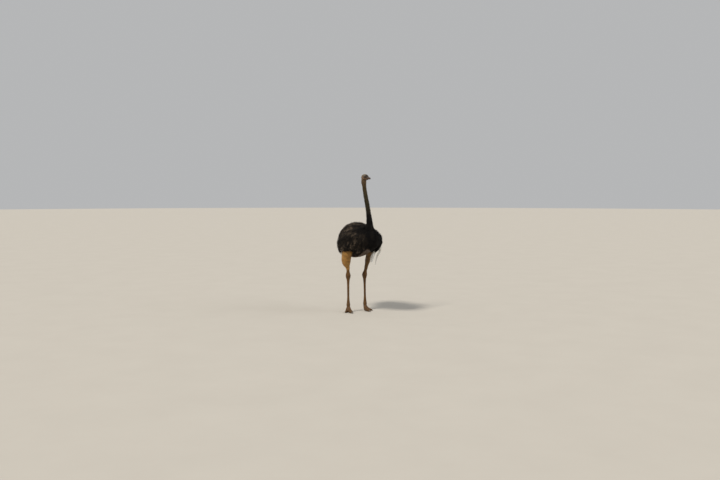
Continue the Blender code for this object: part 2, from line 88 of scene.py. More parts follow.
def mixed(first: object, second: object, share: object) -> Array:
    """A blend from first, at share 0, to second, at share 1."""
    first = np.asarray(first)
    return first + (np.asarray(second) - first) * share


def graded(heights: Array, stations: tuple, colours: tuple) -> Array:
    """Rows of colour that change with height, from the reds, greens and blues at some stations."""
    return np.stack([np.interp(heights, stations, column) for column in colours], 1)


def wavy(points: Array, scale: float, seed: int) -> Array:
    """A slow, even pattern of -1 to 1 through space, from a few crossed waves.

    Args:
        points: Places, the last axis being x, y, z.
        scale: About how far apart two crests are.
        seed: Which pattern.

    Returns:
        One value for each place.
    """
    draw = np.random.default_rng(seed)
    total = np.zeros(points.shape[:-1])
    for _ in range(5):
        way = unit(draw.normal(size=3)) * math.tau / (scale * draw.uniform(0.7, 1.6))
        total += np.sin(points @ way + draw.uniform(0.0, math.tau))
    return total / 3.0


def drift(places: Array, scale: float, seed: int) -> Array:
    """Slowly changing ways through space, as rows of x, y, z."""
    return np.stack([wavy(places, scale, seed + k) for k in range(3)], 1)


def eased(count: int) -> Array:
    """Shares from 0 to 1 that lie closer together at both ends."""
    return 0.5 - 0.5 * np.cos(np.linspace(0.0, math.pi, count))


def on_map(across: Array, along: Array) -> Array:
    """Places on the bake map for two shares of 0 to 1, with room at the map's edge."""
    return np.stack([0.02 + 0.94 * across, 0.02 + 0.94 * along], 1)


def through(table: tuple, shares: Array) -> Array:
    """Rows on one smooth curve through a table's rows.

    Args:
        table: Rows whose first number is the place along the curve.
        shares: Where rows are wanted, from 0 at the first row to 1 at the last.

    Returns:
        One row for each share.
    """
    rows = np.array(table, float)
    knots = rows[:, 0]
    slopes = np.gradient(rows, knots, axis=0)
    wanted = knots[0] + (knots[-1] - knots[0]) * np.asarray(shares, float)
    piece = np.clip(np.searchsorted(knots, wanted, side="right") - 1, 0, len(knots) - 2)
    width = (knots[piece + 1] - knots[piece])[:, None]
    part = (wanted[:, None] - knots[piece][:, None]) / width
    near = (1.0 + 2.0 * part) * (1.0 - part) ** 2
    far = part**2 * (3.0 - 2.0 * part)
    leave = part * (1.0 - part) ** 2 * width
    arrive = part**2 * (part - 1.0) * width
    return near * rows[piece] + far * rows[piece + 1] + leave * slopes[piece] + arrive * slopes[piece + 1]


def ovals(centres: Array, across: Array, upward: Array, half: Array, over: Array, under: Array,
          count: int, power: float = 2.0, power_over: float = 0.0) -> Array:
    """Rings of points, one round each centre.

    Args:
        centres: The middle of each.
        across: The way each is wide, or one way for all.
        upward: The way each is high.
        half: Half its width.
        over: Its height over the middle.
        under: Its depth under it.
        count: Points on a ring.
        power: 2 is round, and more is squarer.
        power_over: The same over the middle, where it differs.

    Returns:
        Rings of points.
    """
    turn = math.tau * np.arange(count) / count
    bend = 2.0 / np.where(np.sin(turn) > 0.0, power_over or power, power)
    cosine = np.sign(np.cos(turn)) * np.abs(np.cos(turn)) ** bend
    sine = np.sign(np.sin(turn)) * np.abs(np.sin(turn)) ** bend
    rise = np.where(sine[None, :] > 0.0, over[:, None], under[:, None]) * sine[None, :]
    across, upward = (np.broadcast_to(way, centres.shape)[:, None] for way in (across, upward))
    beside = half[:, None] * cosine[None, :]
    return centres[:, None] + across * beside[..., None] + upward * rise[..., None]


def along_path(rows: Array, count: int, power: float = 2.0) -> Array:
    """Rings along a bent line.

    Args:
        rows: x, y, z, half the width and half the depth at each place, and its turn where it has one.
        count: Points on a ring.
        power: 2 is round, and more is squarer.

    Returns:
        Rings of points.
    """
    places = rows[:, :3]
    ahead = unit(np.gradient(places, axis=0))
    width = unit(ACROSS - ahead * (ahead @ ACROSS)[:, None])
    depth = unit(np.cross(width, ahead))
    if rows.shape[1] > 5:
        cosine, sine = np.cos(np.radians(rows[:, 5:])), np.sin(np.radians(rows[:, 5:]))
        width, depth = width * cosine - depth * sine, depth * cosine + width * sine
    return ovals(places, width, depth, rows[:, 3], rows[:, 4], rows[:, 4], count, power)


# ---- mesh making

@dataclass
class Shell:
    """Points and faces that are gathered before they become one mesh."""

    points: list = field(default_factory=list)
    faces: list = field(default_factory=list)
    size: int = 0

    def add(self, points: Array, faces: Array) -> None:
        """Adds some points with the faces between them.

        Args:
            points: Places as rows of x, y, z.
            faces: Rows of point numbers, all with as many corners.
        """
        self.points.append(points.reshape(-1, 3))
        self.faces.append(faces + self.size)
        self.size += self.points[-1].shape[0]

    def loft(self, rings: Array) -> None:
        """Adds a closed tube through rings of points, each end closed by a fan.

        Args:
            rings: Rings of points.
        """
        rows, count, _ = rings.shape
        start = np.arange(rows - 1)[:, None] * count
        here = np.arange(count)[None, :]
        after = (here + 1) % count
        sides = np.stack([start + here, start + after, start + count + after, start + count + here], -1)
        ends = np.stack([rings[0].mean(0), rings[-1].mean(0)])
        self.add(np.concatenate([rings.reshape(-1, 3), ends]), sides.reshape(-1, 4))
        base = self.size - rows * count - 2
        first, last = np.full(count, rows * count), np.full(count, rows * count + 1)
        low, beside, top = here[0], after[0], (rows - 1) * count
        fans = [np.stack([first, beside, low], -1), np.stack([last, top + low, top + beside], -1)]
        self.faces.append(np.concatenate(fans) + base)

    def mesh(self, name: str) -> Piece:
        """Makes one object of everything gathered.

        Args:
            name: The object's name.

        Returns:
            The object, linked to the scene. Strands stay flat, and everything else is shaded smooth.
        """
        data = bpy.data.meshes.new(name)
        faces = [row for rows in self.faces for row in rows.tolist()]
        data.from_pydata(np.concatenate(self.points).tolist(), [], faces)
        data.polygons.foreach_set("use_smooth", np.full(len(faces), len(faces[0]) > 3))
        return put(name, data)


def put(name: str, data: bpy.types.ID) -> Piece:
    """Puts an object into the scene.

    Args:
        name: Its name.
        data: Its mesh, camera or lamp.

    Returns:
        The object.
    """
    made = bpy.data.objects.new(name, data)
    bpy.context.scene.collection.objects.link(made)
    return made


def rows_of(items: bpy.types.bpy_prop_collection, name: str) -> Array:
    """Reads one x, y, z value of a mesh's vertices or faces.

    Args:
        items: The vertices or faces.
        name: The value, as Blender names it.

    Returns:
        One row for each.
    """
    flat = np.empty(len(items) * 3, np.float32)
    items.foreach_get(name, flat)
    return flat.reshape(-1, 3).astype(float)


def lofted(name: str, rings: Array) -> Piece:
    """Makes one closed tube with every face looking outwards.

    Args:
        name: The object's name.
        rings: Rings of points.

    Returns:
        The object.
    """
    shell = Shell()
    shell.loft(rings)
    made = shell.mesh(name)
    mesh = bmesh.new()
    mesh.from_mesh(made.data)
    bmesh.ops.recalc_face_normals(mesh, faces=mesh.faces)
    mesh.to_mesh(made.data)
    mesh.free()
    return made


def paint(data: Mesh, name: str, colours: Array) -> None:
    """Stores one colour for each vertex.

    Args:
        data: The mesh.
        name: The name that a finish reads it by.
        colours: Rows of red, green and blue, or of one grey, as light.
    """
    layer = data.color_attributes.new(name, "FLOAT_COLOR", "POINT")
    full = np.ones((len(colours), 4), np.float32)
    full[:, :3] = colours
    layer.data.foreach_set("color", full.ravel())


def put_map(data: Mesh, places: Array) -> None:
    """Gives a coat piece its bake map.

    Args:
        data: The mesh.
        places: Each vertex's place on the map.
    """
    corners = np.empty(len(data.loops), np.int32)
    data.loops.foreach_get("vertex_index", corners)
    layer = data.uv_layers.new(name="OFBake")
    layer.data.foreach_set("uv", places[corners].astype(np.float32).ravel())


def done(piece: Piece, slot: str, finish: Material, *nodes: str) -> None:
    """Dresses a finished piece and lets it ride on the bird.

    Args:
        piece: The object.
        slot: The record's material slot; not used.
        finish: Its material.
        nodes: The solids that it stands for.
    """
    piece.data.materials.clear()
    piece.data.materials.append(finish)
    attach(piece, BODY)
    if nodes:
        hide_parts(*nodes)
    LOG.info("%s: %d points, %d faces", piece.name, len(piece.data.vertices), len(piece.data.polygons))


# ---- finishes

@dataclass
class Nodes:
    """Builds one material's nodes."""

    name: str

    def __post_init__(self) -> None:
        """Makes the material with its shader."""
        self.material = bpy.data.materials.new(self.name)
        self.material.use_nodes = True
        self.tree = self.material.node_tree
        self.shader = self.tree.nodes["Principled BSDF"]

    def add(self, kind: str, **settings: object) -> bpy.types.Node:
        """Adds a node.

        Args:
            kind: The node's type.
            settings: Its properties, or the values of its inputs by name.

        Returns:
            The node.
        """
        node = self.tree.nodes.new(kind)
        for name, value in settings.items():
            if hasattr(node, name):
                setattr(node, name, value)
            else:
                self.feed(node.inputs[name.replace("_", " ")], value)
        return node

    def feed(self, socket: Socket, value: object) -> None:
        """Gives a socket its value.

        Args:
            socket: The socket.
            value: Another socket, which is joined to it, or a colour or a number.
        """
        if isinstance(value, Socket):
            self.tree.links.new(value, socket)
        elif isinstance(value, tuple):
            socket.default_value = (*value, 1.0)
        else:
            socket.default_value = value

    def noise(self, scale: float, detail: float = 4.0) -> Socket:
        """A cloudy pattern through space, about 0.5 in the middle.

        Args:
            scale: How many clouds lie in a metre.
            detail: How many finer layers it has.

        Returns:
            Its strength.
        """
        place = self.add("ShaderNodeTexCoord").outputs["Object"]
        noise = self.add("ShaderNodeTexNoise", Vector=place, Scale=scale, Detail=detail, Roughness=0.6)
        return noise.outputs["Fac"]

    def cells(self, scale: float, feature: str = "F1") -> Socket:
        """A pattern of cells through space.

        Args:
            scale: How many lie in a metre.
            feature: Which distance to measure.

        Returns:
            The distance in each cell.
        """
        place = self.add("ShaderNodeTexCoord").outputs["Object"]
        cells = self.add("ShaderNodeTexVoronoi", feature=feature, Vector=place, Scale=scale)
        return cells.outputs["Distance"]

    def sum(self, operation: str, first: object, second: object) -> Socket:
        """A sum of two values.

        Args:
            operation: The operation, as Blender names it.
            first: A socket or a number.
            second: A socket or a number.

        Returns:
            The result.
        """
        node = self.add("ShaderNodeMath", operation=operation)
        for socket, value in zip(node.inputs, (first, second)):
            self.feed(socket, value)
        return node.outputs[0]

    def stretch(self, value: Socket, span: tuple, result: tuple) -> Socket:
        """Stretches a value from its span to the result's, kept inside it."""
        return self.add("ShaderNodeMapRange", Value=value, From_Min=span[0], From_Max=span[1],
                        To_Min=result[0], To_Max=result[1]).outputs["Result"]

    def painted(self, name: str, output: str = "Color") -> Socket:
        """The colour, or the number, stored on the mesh under a name."""
        return self.add("ShaderNodeAttribute", attribute_name=name).outputs[output]

    def tinted(self, colour: object, tint: tuple, share: object, blend: str = "MIX") -> Socket:
        """A colour mixed with another.

        Args:
            colour: A socket or a colour.
            tint: The other colour.
            share: How much of it, a socket or a number.
            blend: The way they mix, as Blender names it.

        Returns:
            The mixed colour.
        """
        node = self.add("ShaderNodeMix", data_type="RGBA", blend_type=blend)
        for number, value in ((0, share), (6, colour), (7, tint)):
            self.feed(node.inputs[number], value)
        return node.outputs[2]

    def bump(self, height: Socket, strength: float, distance: float) -> None:
        """Roughens the surface by a height of 0 to 1, where 1 is so many metres deep."""
        node = self.add("ShaderNodeBump", Strength=strength, Distance=distance, Height=height)
        self.feed(self.shader.inputs["Normal"], node.outputs["Normal"])

    def set(self, **values: object) -> None:
        """Sets the shader's own sockets, an underscore standing for a space."""
        for name, value in values.items():
            self.feed(self.shader.inputs[name.replace("_", " ")], value)


@dataclass(frozen=True)
class PlumeFinish:
    """Feather barbs, coloured plume by plume, with the soft gloss of loose vanes."""

    name: str
    roughness: float
    sheen: float
    sheen_tint: tuple
    mottle: float = 0.45

    def material(self) -> Material:
        """Makes the material.

        Returns:
            The material.
        """
        nodes = Nodes(self.name)
        colour = nodes.tinted(nodes.painted("plume"), (0.0, 0.0, 0.0),
                              nodes.stretch(nodes.noise(160.0, 2.0), (0.35, 0.7), (0.0, self.mottle)))
        rough = nodes.stretch(nodes.noise(60.0), (0.3, 0.7), (self.roughness - 0.08, self.roughness + 0.1))
        nodes.bump(nodes.noise(900.0, 2.0), 0.3, 0.0004)
        nodes.set(Base_Color=colour, Roughness=rough, Sheen_Weight=self.sheen, Sheen_Roughness=0.35,
                  Sheen_Tint=self.sheen_tint, Specular_IOR_Level=0.1)
        return nodes.material


@dataclass(frozen=True)
class SkinFinish:
    """Bare skin and scaled shanks, coloured from the markings and the painted shade stored on the skin."""

    name: str = "living_skin"

    def material(self) -> Material:
        """Makes the material.

        Returns:
            The material.
        """
        nodes = Nodes(self.name)
        mottle = nodes.stretch(nodes.noise(34.0, 6.0), (0.35, 0.68), (0.0, 0.4))
        colour = nodes.tinted(nodes.painted("skin"), (0.46, 0.38, 0.31), mottle, "MULTIPLY")
        pores = nodes.stretch(nodes.cells(210.0), (0.0, 0.55), (0.55, 0.0))
        colour = nodes.tinted(colour, (0.05, 0.03, 0.022), nodes.sum("MULTIPLY", pores, 0.35))
        scaled = nodes.painted("scaled", "Fac")
        edges = nodes.stretch(nodes.cells(230.0, "DISTANCE_TO_EDGE"), (0.0, 0.12), (1.0, 0.0))
        dark_edges = nodes.sum("MULTIPLY", nodes.sum("MULTIPLY", edges, scaled), 0.75)
        colour = nodes.tinted(colour, (0.035, 0.022, 0.015), dark_edges)
        rough = nodes.stretch(nodes.noise(90.0), (0.3, 0.7), (0.48, 0.72))
        plates = nodes.sum("MULTIPLY", edges, nodes.sum("MULTIPLY", scaled, -1.0))
        fine = nodes.sum("ADD", nodes.sum("MULTIPLY", nodes.noise(420.0, 5.0), 0.6),
                         nodes.sum("MULTIPLY", pores, -0.5))
        nodes.bump(nodes.sum("ADD", plates, fine), 0.8, 0.0011)
        nodes.set(Base_Color=colour, Roughness=rough, Specular_IOR_Level=0.26, Subsurface_Weight=0.06,
                  Subsurface_Scale=0.01)
        return nodes.material


@dataclass(frozen=True)
class HornFinish:
    """Horn of the bill or a claw: grown in fine lines, paler at one end, a little worn."""

    name: str
    base: tuple
    dark: tuple
    roughness: float

    def material(self) -> Material:
        """Makes the material.

        Returns:
            The material.
        """
        nodes = Nodes(self.name)
        clouds = nodes.stretch(nodes.noise(70.0, 6.0), (0.35, 0.68), (0.0, 1.0))
        colour = nodes.tinted(self.base, self.dark, nodes.sum("MULTIPLY", clouds, 0.6))
        flecks = nodes.stretch(nodes.noise(420.0, 3.0), (0.56, 0.72), (0.0, 0.5))
        colour = nodes.tinted(colour, self.dark, flecks)
        # darker where the mesh's shade values say: painted shade in the bill's nostrils, grooves and mouth
        # line, and darker horn at the bill's nail and the claws' bases
        colour = nodes.tinted(colour, self.dark, nodes.painted("shade"))
        rough = nodes.stretch(nodes.noise(140.0), (0.3, 0.7), (self.roughness - 0.1, self.roughness + 0.14))
        nodes.bump(nodes.noise(600.0), 0.5, 0.0004)
        nodes.set(Base_Color=colour, Roughness=rough, Specular_IOR_Level=0.35, Coat_Weight=0.05,
                  Coat_Roughness=0.4)
        return nodes.material


@dataclass(frozen=True)
class EyeFinish:
    """A wet dark eye: brown iris, black pupil and a dark rim under a clear coat."""

    name: str = "wet_eye"

    def material(self) -> Material:
        """Makes the material.

        Returns:
            The material.
        """
        nodes = Nodes(self.name)
        streaks = nodes.stretch(nodes.noise(380.0, 3.0), (0.3, 0.7), (0.0, 0.5))
        colour = nodes.tinted(nodes.painted("iris"), (0.006, 0.004, 0.003), streaks)
        nodes.set(Base_Color=colour, Roughness=0.25, Specular_IOR_Level=0.15, Coat_Weight=0.6,
                  Coat_Roughness=0.02)
        return nodes.material


@dataclass(frozen=True)
class HairFinish:
    """Lashes and bristles."""

    name: str
    colour: tuple

    def material(self) -> Material:
        """Makes the material.

        Returns:
            The material.
        """
        nodes = Nodes(self.name)
        tone = nodes.stretch(nodes.noise(240.0, 2.0), (0.3, 0.7), (0.0, 0.5))
        nodes.set(Base_Color=nodes.tinted(self.colour, (0.0, 0.0, 0.0), tone), Roughness=0.5,
                  Specular_IOR_Level=0.4)
        return nodes.material


# ---- the bird's measures

class Side(Enum):
    """The bird's two sides, with the sign of x on each."""

    RIGHT = -1.0
    LEFT = 1.0

    @property
    def word(self) -> str:
        """The side's name in a piece's name."""
        return self.name.lower()


@dataclass
class Form:
    """The bird's measures, the same that the solids are made from. Places count from their own origin."""

    trunk: tuple = (  # y, lowest, highest, half the width, where it is widest
        (-0.655, 1.282, 1.342, 0.022, 1.312), (-0.643, 1.22, 1.394, 0.078, 1.308),
        (-0.608, 1.168, 1.44, 0.132, 1.303), (-0.545, 1.132, 1.478, 0.182, 1.298),
        (-0.45, 1.1, 1.512, 0.226, 1.29), (-0.3, 1.048, 1.544, 0.262, 1.275),
        (-0.15, 0.988, 1.565, 0.28, 1.255), (0.0, 0.952, 1.572, 0.284, 1.245),
        (0.15, 0.948, 1.56, 0.266, 1.24), (0.3, 0.998, 1.515, 0.222, 1.245),
        (0.42, 1.095, 1.45, 0.165, 1.27), (0.5, 1.195, 1.382, 0.102, 1.29),
        (0.54, 1.275, 1.328, 0.02, 1.302),
    )
    wing: dict = field(default_factory=lambda: {  # y, outermost, its height, half the width, over it, lowest
        Side.RIGHT: (
            (-0.49, 0.16, 1.32, 0.022, 0.045, 1.262), (-0.462, 0.243, 1.314, 0.05, 0.085, 1.2),
            (-0.42, 0.284, 1.306, 0.058, 0.118, 1.155), (-0.33, 0.314, 1.295, 0.064, 0.15, 1.112),
            (-0.18, 0.342, 1.275, 0.07, 0.18, 1.082), (-0.03, 0.352, 1.255, 0.074, 0.195, 1.062),
            (0.1, 0.322, 1.225, 0.072, 0.195, 1.022), (0.22, 0.272, 1.205, 0.064, 0.18, 1.012),
            (0.33, 0.22, 1.215, 0.052, 0.145, 1.05), (0.415, 0.158, 1.225, 0.028, 0.075, 1.13),
        ),
        Side.LEFT: (
            (-0.49, 0.16, 1.32, 0.022, 0.045, 1.262), (-0.462, 0.243, 1.314, 0.05, 0.085, 1.195),
            (-0.42, 0.284, 1.306, 0.058, 0.118, 1.145), (-0.33, 0.316, 1.295, 0.064, 0.15, 1.085),
            (-0.18, 0.35, 1.275, 0.07, 0.18, 1.015), (-0.03, 0.368, 1.255, 0.074, 0.195, 0.985),
            (0.1, 0.352, 1.24, 0.072, 0.195, 0.985), (0.22, 0.306, 1.23, 0.064, 0.18, 1.0),
            (0.33, 0.24, 1.225, 0.052, 0.145, 1.05), (0.415, 0.166, 1.225, 0.028, 0.075, 1.13),
        ),
    })
    front_edge: tuple = (  # place across the view, height
        (-0.37, 1.005), (-0.3, 1.012), (-0.27, 1.02), (-0.25, 1.046), (-0.2, 1.056), (-0.18, 1.068),
        (-0.15, 1.05), (-0.13, 1.035), (-0.1, 0.988), (-0.06, 0.974), (0.0, 0.96), (0.175, 1.128),
        (0.2, 1.122), (0.24, 1.066), (0.31, 1.052), (0.36, 1.062), (0.39, 1.125),
    )
    white_rows: dict = field(default_factory=lambda: {  # first and last y, x there, top, tips there
        Side.LEFT: ((-0.02, 0.345), (0.35, 0.236), 1.11, (1.0, 0.985)),
        Side.RIGHT: ((0.03, 0.39), (0.292, 0.18), 1.15, (0.99, 0.985)),
    })
    tail: tuple = (  # share of its length, y, z, half the width, half the depth
        (0.0, 0.33, 1.4, 0.05, 0.05), (0.25, 0.425, 1.372, 0.082, 0.08),
        (0.5, 0.492, 1.296, 0.103, 0.104), (0.75, 0.526, 1.19, 0.108, 0.098),
        (0.92, 0.536, 1.092, 0.086, 0.068), (1.0, 0.538, 1.04, 0.034, 0.026),
    )
    neck: tuple = (  # share of its length, x, y, z, half the width, half the depth
        (0.0, 0.0, -0.4, 1.25, 0.14, 0.15), (0.12, 0.0, -0.472, 1.37, 0.1, 0.116),
        (0.22, 0.0, -0.508, 1.47, 0.068, 0.08), (0.31, -0.002, -0.506, 1.575, 0.047, 0.056),
        (0.41, -0.006, -0.49, 1.69, 0.035, 0.042), (0.55, -0.016, -0.455, 1.86, 0.031, 0.037),
        (0.72, -0.034, -0.412, 2.05, 0.029, 0.034), (0.87, -0.043, -0.384, 2.2, 0.029, 0.034),
        (0.95, -0.046, -0.377, 2.276, 0.032, 0.042), (1.0, -0.045, -0.386, 2.324, 0.025, 0.034),
    )
    knee: tuple = (0.216, -0.115, 1.13)
    hock: tuple = (0.169, 0.014, 0.636)
    ankle: tuple = (0.172, 0.0, 0.112)
    shift: dict = field(default_factory=lambda: {  # knee, hock and ankle moved left and back
        Side.RIGHT: ((0.0, 0.03), (0.014, 0.012), (0.014, 0.012)),
        Side.LEFT: ((0.01, 0.03), (0.014, 0.058), (0.014, 0.058)),
    })
    leg_shape: dict = field(default_factory=lambda: {  # width, depth and turn of the upper leg
        Side.RIGHT: (1.0, 1.0, 0.0), Side.LEFT: (0.62, 0.86, 25.0),
    })
    leg_even: tuple = (0.6, 0.8)
    thigh_even: tuple = (0.9, 0.4)
    foot_turn: dict = field(default_factory=lambda: {Side.RIGHT: 12.0, Side.LEFT: 4.0})
    thigh: tuple = (  # share of its length, y, z, x outwards, half the width, half the depth
        (0.0, 0.13, 1.27, 0.12, 0.04, 0.06), (0.15, 0.11, 1.235, 0.14, 0.075, 0.115),
        (0.45, 0.04, 1.16, 0.18, 0.086, 0.14), (0.75, -0.03, 1.085, 0.208, 0.08, 0.12),
        (0.93, -0.065, 1.035, 0.218, 0.06, 0.08), (1.0, -0.078, 1.01, 0.22, 0.03, 0.04),
    )
    leg: tuple = (  # 0 knee, 1 hock, 2 ankle; bulge backwards, half the width, half the depth
        (0.0, 0.0, 0.056, 0.08), (0.14, 0.01, 0.074, 0.105), (0.32, 0.026, 0.076, 0.106),
        (0.46, 0.034, 0.074, 0.096), (0.57, 0.028, 0.064, 0.079), (0.66, 0.014, 0.045, 0.055),
        (0.74, 0.004, 0.031, 0.037), (0.84, 0.0, 0.026, 0.03), (0.93, 0.0, 0.036, 0.041),
        (1.0, 0.0, 0.042, 0.049), (1.06, 0.0, 0.038, 0.045), (1.14, 0.0, 0.026, 0.034),
        (1.25, 0.0, 0.021, 0.029), (1.5, 0.0, 0.0185, 0.026), (1.76, 0.0, 0.02, 0.0255),
        (1.9, 0.0, 0.027, 0.03), (1.98, 0.0, 0.033, 0.035), (2.05, 0.0, 0.026, 0.027),
    )
    big_toe: tuple = (  # ahead of the ankle, height, half the width, half the depth
        (-0.012, 0.098, 0.021, 0.022), (0.012, 0.074, 0.027, 0.031), (0.036, 0.042, 0.03, 0.042),
        (0.072, 0.029, 0.031, 0.035), (0.105, 0.024, 0.029, 0.03), (0.14, 0.022, 0.028, 0.028),
        (0.168, 0.02, 0.024, 0.025), (0.184, 0.019, 0.014, 0.016),
    )
    small_toe: tuple = (
        (-0.006, 0.084, 0.015, 0.016), (0.016, 0.06, 0.018, 0.02), (0.038, 0.032, 0.019, 0.029),
        (0.066, 0.021, 0.018, 0.025), (0.096, 0.017, 0.017, 0.021), (0.116, 0.015, 0.013, 0.018),
        (0.128, 0.014, 0.007, 0.01),
    )
    claw_big: tuple = (
        (0.164, 0.022, 0.011, 0.012), (0.19, 0.019, 0.0105, 0.0115), (0.212, 0.011, 0.007, 0.008),
        (0.226, 0.004, 0.0022, 0.0028),
    )
    claw_small: tuple = (
        (0.112, 0.016, 0.0058, 0.0062), (0.13, 0.013, 0.005, 0.0056), (0.142, 0.006, 0.0018, 0.0022),
    )
    toe_turn: dict = field(default_factory=lambda: {"big": (-4.0, -0.006), "small": (28.0, 0.02)})
    bow_out: float = 0.5
    eye_level: tuple = (-0.034, -0.42, 2.331)
    head_turn: float = 25.0
    head_dip: float = 5.0
    skull: tuple = (  # ahead of the eyes, lowest, highest, half the width
        (-0.082, -0.01, 0.012, 0.009), (-0.07, -0.03, 0.032, 0.026), (-0.048, -0.043, 0.045, 0.034),
        (-0.022, -0.045, 0.051, 0.041), (0.0, -0.044, 0.052, 0.044), (0.022, -0.04, 0.047, 0.039),
        (0.042, -0.034, 0.034, 0.031), (0.056, -0.026, 0.019, 0.024),
    )

    def __post_init__(self) -> None:
        """Finds how far the solids' own origin lies from the measures' origin."""
        low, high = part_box("trunk")
        middle = (low.x + high.x) / 2.0
        self.shift_all = np.array([middle, low.y - self.trunk[0][0], high.z - max(r[2] for r in self.trunk)])

    def place(self, points: Array) -> Array:
        """Takes places from the measures' origin to the solids' origin."""
        return np.asarray(points, float) + self.shift_all

    def local(self, points: Array) -> Array:
        """Takes places from the solids' origin back to the measures' origin."""
        return points - self.shift_all

    def edge(self, points: Array) -> tuple:
        """The height of the coat's lower edge at each place, and how far it counts, 0 over the rump."""
        table = np.array(self.front_edge)
        return np.interp(points @ ACROSS_VIEW, table[:, 0], table[:, 1]), smooth(points[..., 1], 0.2, 0.1)

    def bare(self, points: Array) -> Array:
        """How bare the flank and the belly are at some places.

        Args:
            points: The places.

        Returns:
            1 where no feather grows, 0 where the coat is full.
        """
        x, y, z = np.moveaxis(points, -1, 0)
        edge, counts = self.edge(points)
        left = smooth(points @ ACROSS_VIEW, 0.0, 0.03)
        flank = smooth(z, edge + 0.022, edge + 0.002) * counts * left
        under = smooth(np.abs(x), 0.13, 0.1) * smooth(y, -0.06, 0.0) * smooth(y, 0.22, 0.14)
        return np.maximum(flank, under * smooth(z, 1.1, 1.05))

    def hem(self, points: Array) -> Array:
        """How low the coat hangs at some places.

        Args:
            points: The places.

        Returns:
            The lowest height that a shaft may reach at each.
        """
        x, y, _ = np.moveaxis(points, -1, 0)
        trunk = np.array(self.trunk)
        belly = np.interp(y, trunk[:, 0], trunk[:, 1])
        right, left = (np.interp(y, *np.array(self.wing[side])[:, [0, 5]].T) for side in Side)
        beside = smooth(np.abs(x), 0.09, 0.19) * smooth(y, -0.44, -0.34)
        low = mixed(belly, np.where(x > 0.0, left, right), beside)
        edge, counts = self.edge(points)
        return np.maximum(low, mixed(low, edge, counts)) + 0.016

    def off_neck(self, points: Array) -> Array:
        """How far places lie beside and behind the neck's middle, as rows of x, y."""
        rows = np.array(self.neck)
        return points[:, :2] - np.stack([np.interp(points[:, 2], rows[:, 3], rows[:, k]) for k in (1, 2)], 1)

    def on_neck(self, points: Array, reach: float) -> Array:
        """True where places lie within some reach of the neck's middle."""
        return np.hypot(*self.off_neck(points).T) < reach

    def joints(self, side: Side) -> Array:
        """Finds one leg's joints.

        Args:
            side: Which side.

        Returns:
            The knee, hock and ankle, as rows of x, y, z.
        """
        rows = [(side.value * joint[0] + left, joint[1] + back, joint[2])
                for joint, (left, back) in zip((self.knee, self.hock, self.ankle), self.shift[side])]
        return self.place(rows)

    def shaped(self, side: Side, half: Array, depth: Array, station: Array, even_at: tuple) -> Array:
        """One leg's own width, depth and turn, which fade to the table's.

        Args:
            side: Which leg.
            half: The table's half widths.
            depth: Its half depths.
            station: Where each lies along the leg.
            even_at: Where the fading starts and ends.

        Returns:
            Rows of half the width, half the depth and the turn in degrees.
        """
        wide, deep, turn = self.leg_shape[side]
        own = 1.0 - smooth(station, *even_at)
        return np.stack([half * mixed(1.0, wide, own), depth * mixed(1.0, deep, own), turn * own], 1)

    def leg_rows(self, side: Side, shares: Array) -> Array:
        """Rows for a leg from the knee to the ankle.

        Args:
            side: Which leg.
            shares: Places from 0 at the knee to 1 at the ankle's end.

        Returns:
            Rows of x, y, z, half the width, half the depth, the turn.
        """
        measured = through(self.leg, shares)
        joints = self.joints(side)
        station = measured[:, 0]
        below = (station >= 1.0).astype(int)
        shape = self.shaped(side, measured[:, 2], measured[:, 3], station, self.leg_even)
        place = mixed(joints[below], joints[below + 1], (station - below)[:, None])
        place[:, 0] += side.value * measured[:, 1] * self.bow_out
        place[:, 1] += measured[:, 1]
        return np.concatenate([place, shape], 1)

    def toe_rows(self, side: Side, toe: str, table: tuple, shares: Array) -> Array:
        """Rows for a toe or a claw.

        Args:
            side: Which foot.
            toe: "big" or "small".
            table: Its measures.
            shares: Places along it.

        Returns:
            Rows of x, y, z, half the width, half the depth.
        """
        turn, start = self.toe_turn[toe]
        angle = math.radians(turn + self.foot_turn[side])
        ankle = self.joints(side)[2]
        measured = through(table, shares)
        forward = measured[:, 0]
        return np.stack([ankle[0] + side.value * (start + forward * math.sin(angle)),
                         ankle[1] - forward * math.cos(angle),
                         measured[:, 1] + self.shift_all[2], measured[:, 2], measured[:, 3]], 1)

    def head_axes(self) -> tuple:
        """Finds how the head is held.

        Returns:
            The middle between the eyes, and the ways across, along and above the head.
        """
        turn, dip = math.radians(self.head_turn), math.radians(self.head_dip)
        across = np.array([math.cos(turn), math.sin(turn), 0.0])
        level = np.array([math.sin(turn), -math.cos(turn), 0.0])
        ahead = level * math.cos(dip) - UP * math.sin(dip)
        return self.place(self.eye_level), across, ahead, np.cross(across, -ahead)

    def on_head(self, points: Array) -> Array:
        """Finds places on the head.

        Args:
            points: Rows of across, along and above it.

        Returns:
            The places.
        """
        middle, across, ahead, above = self.head_axes()
        points = np.asarray(points, float)
        return middle + points[..., :1] * across + points[..., 1:2] * ahead + points[..., 2:] * above

    def to_head(self, points: Array) -> Array:
        """Turns places into rows of across, along and above the head."""
        middle, *axes = self.head_axes()
        return (points - middle) @ np.stack(axes, 1)


# ---- the skin

def inward(rings: Array, depth: Array) -> Array:
    """Moves the walls of a tube inwards.

    Args:
        rings: Rings of points.
        depth: How far, for each point.

    Returns:
        The moved rings.
    """
    around = np.roll(rings, -1, 1) - np.roll(rings, 1, 1)
    outward = unit(np.cross(around, np.gradient(rings, axis=0)))
    middle = rings.mean(1, keepdims=True)
    sign = np.sign(((rings - middle) * outward).sum())
    return rings - outward * sign * depth[..., None]


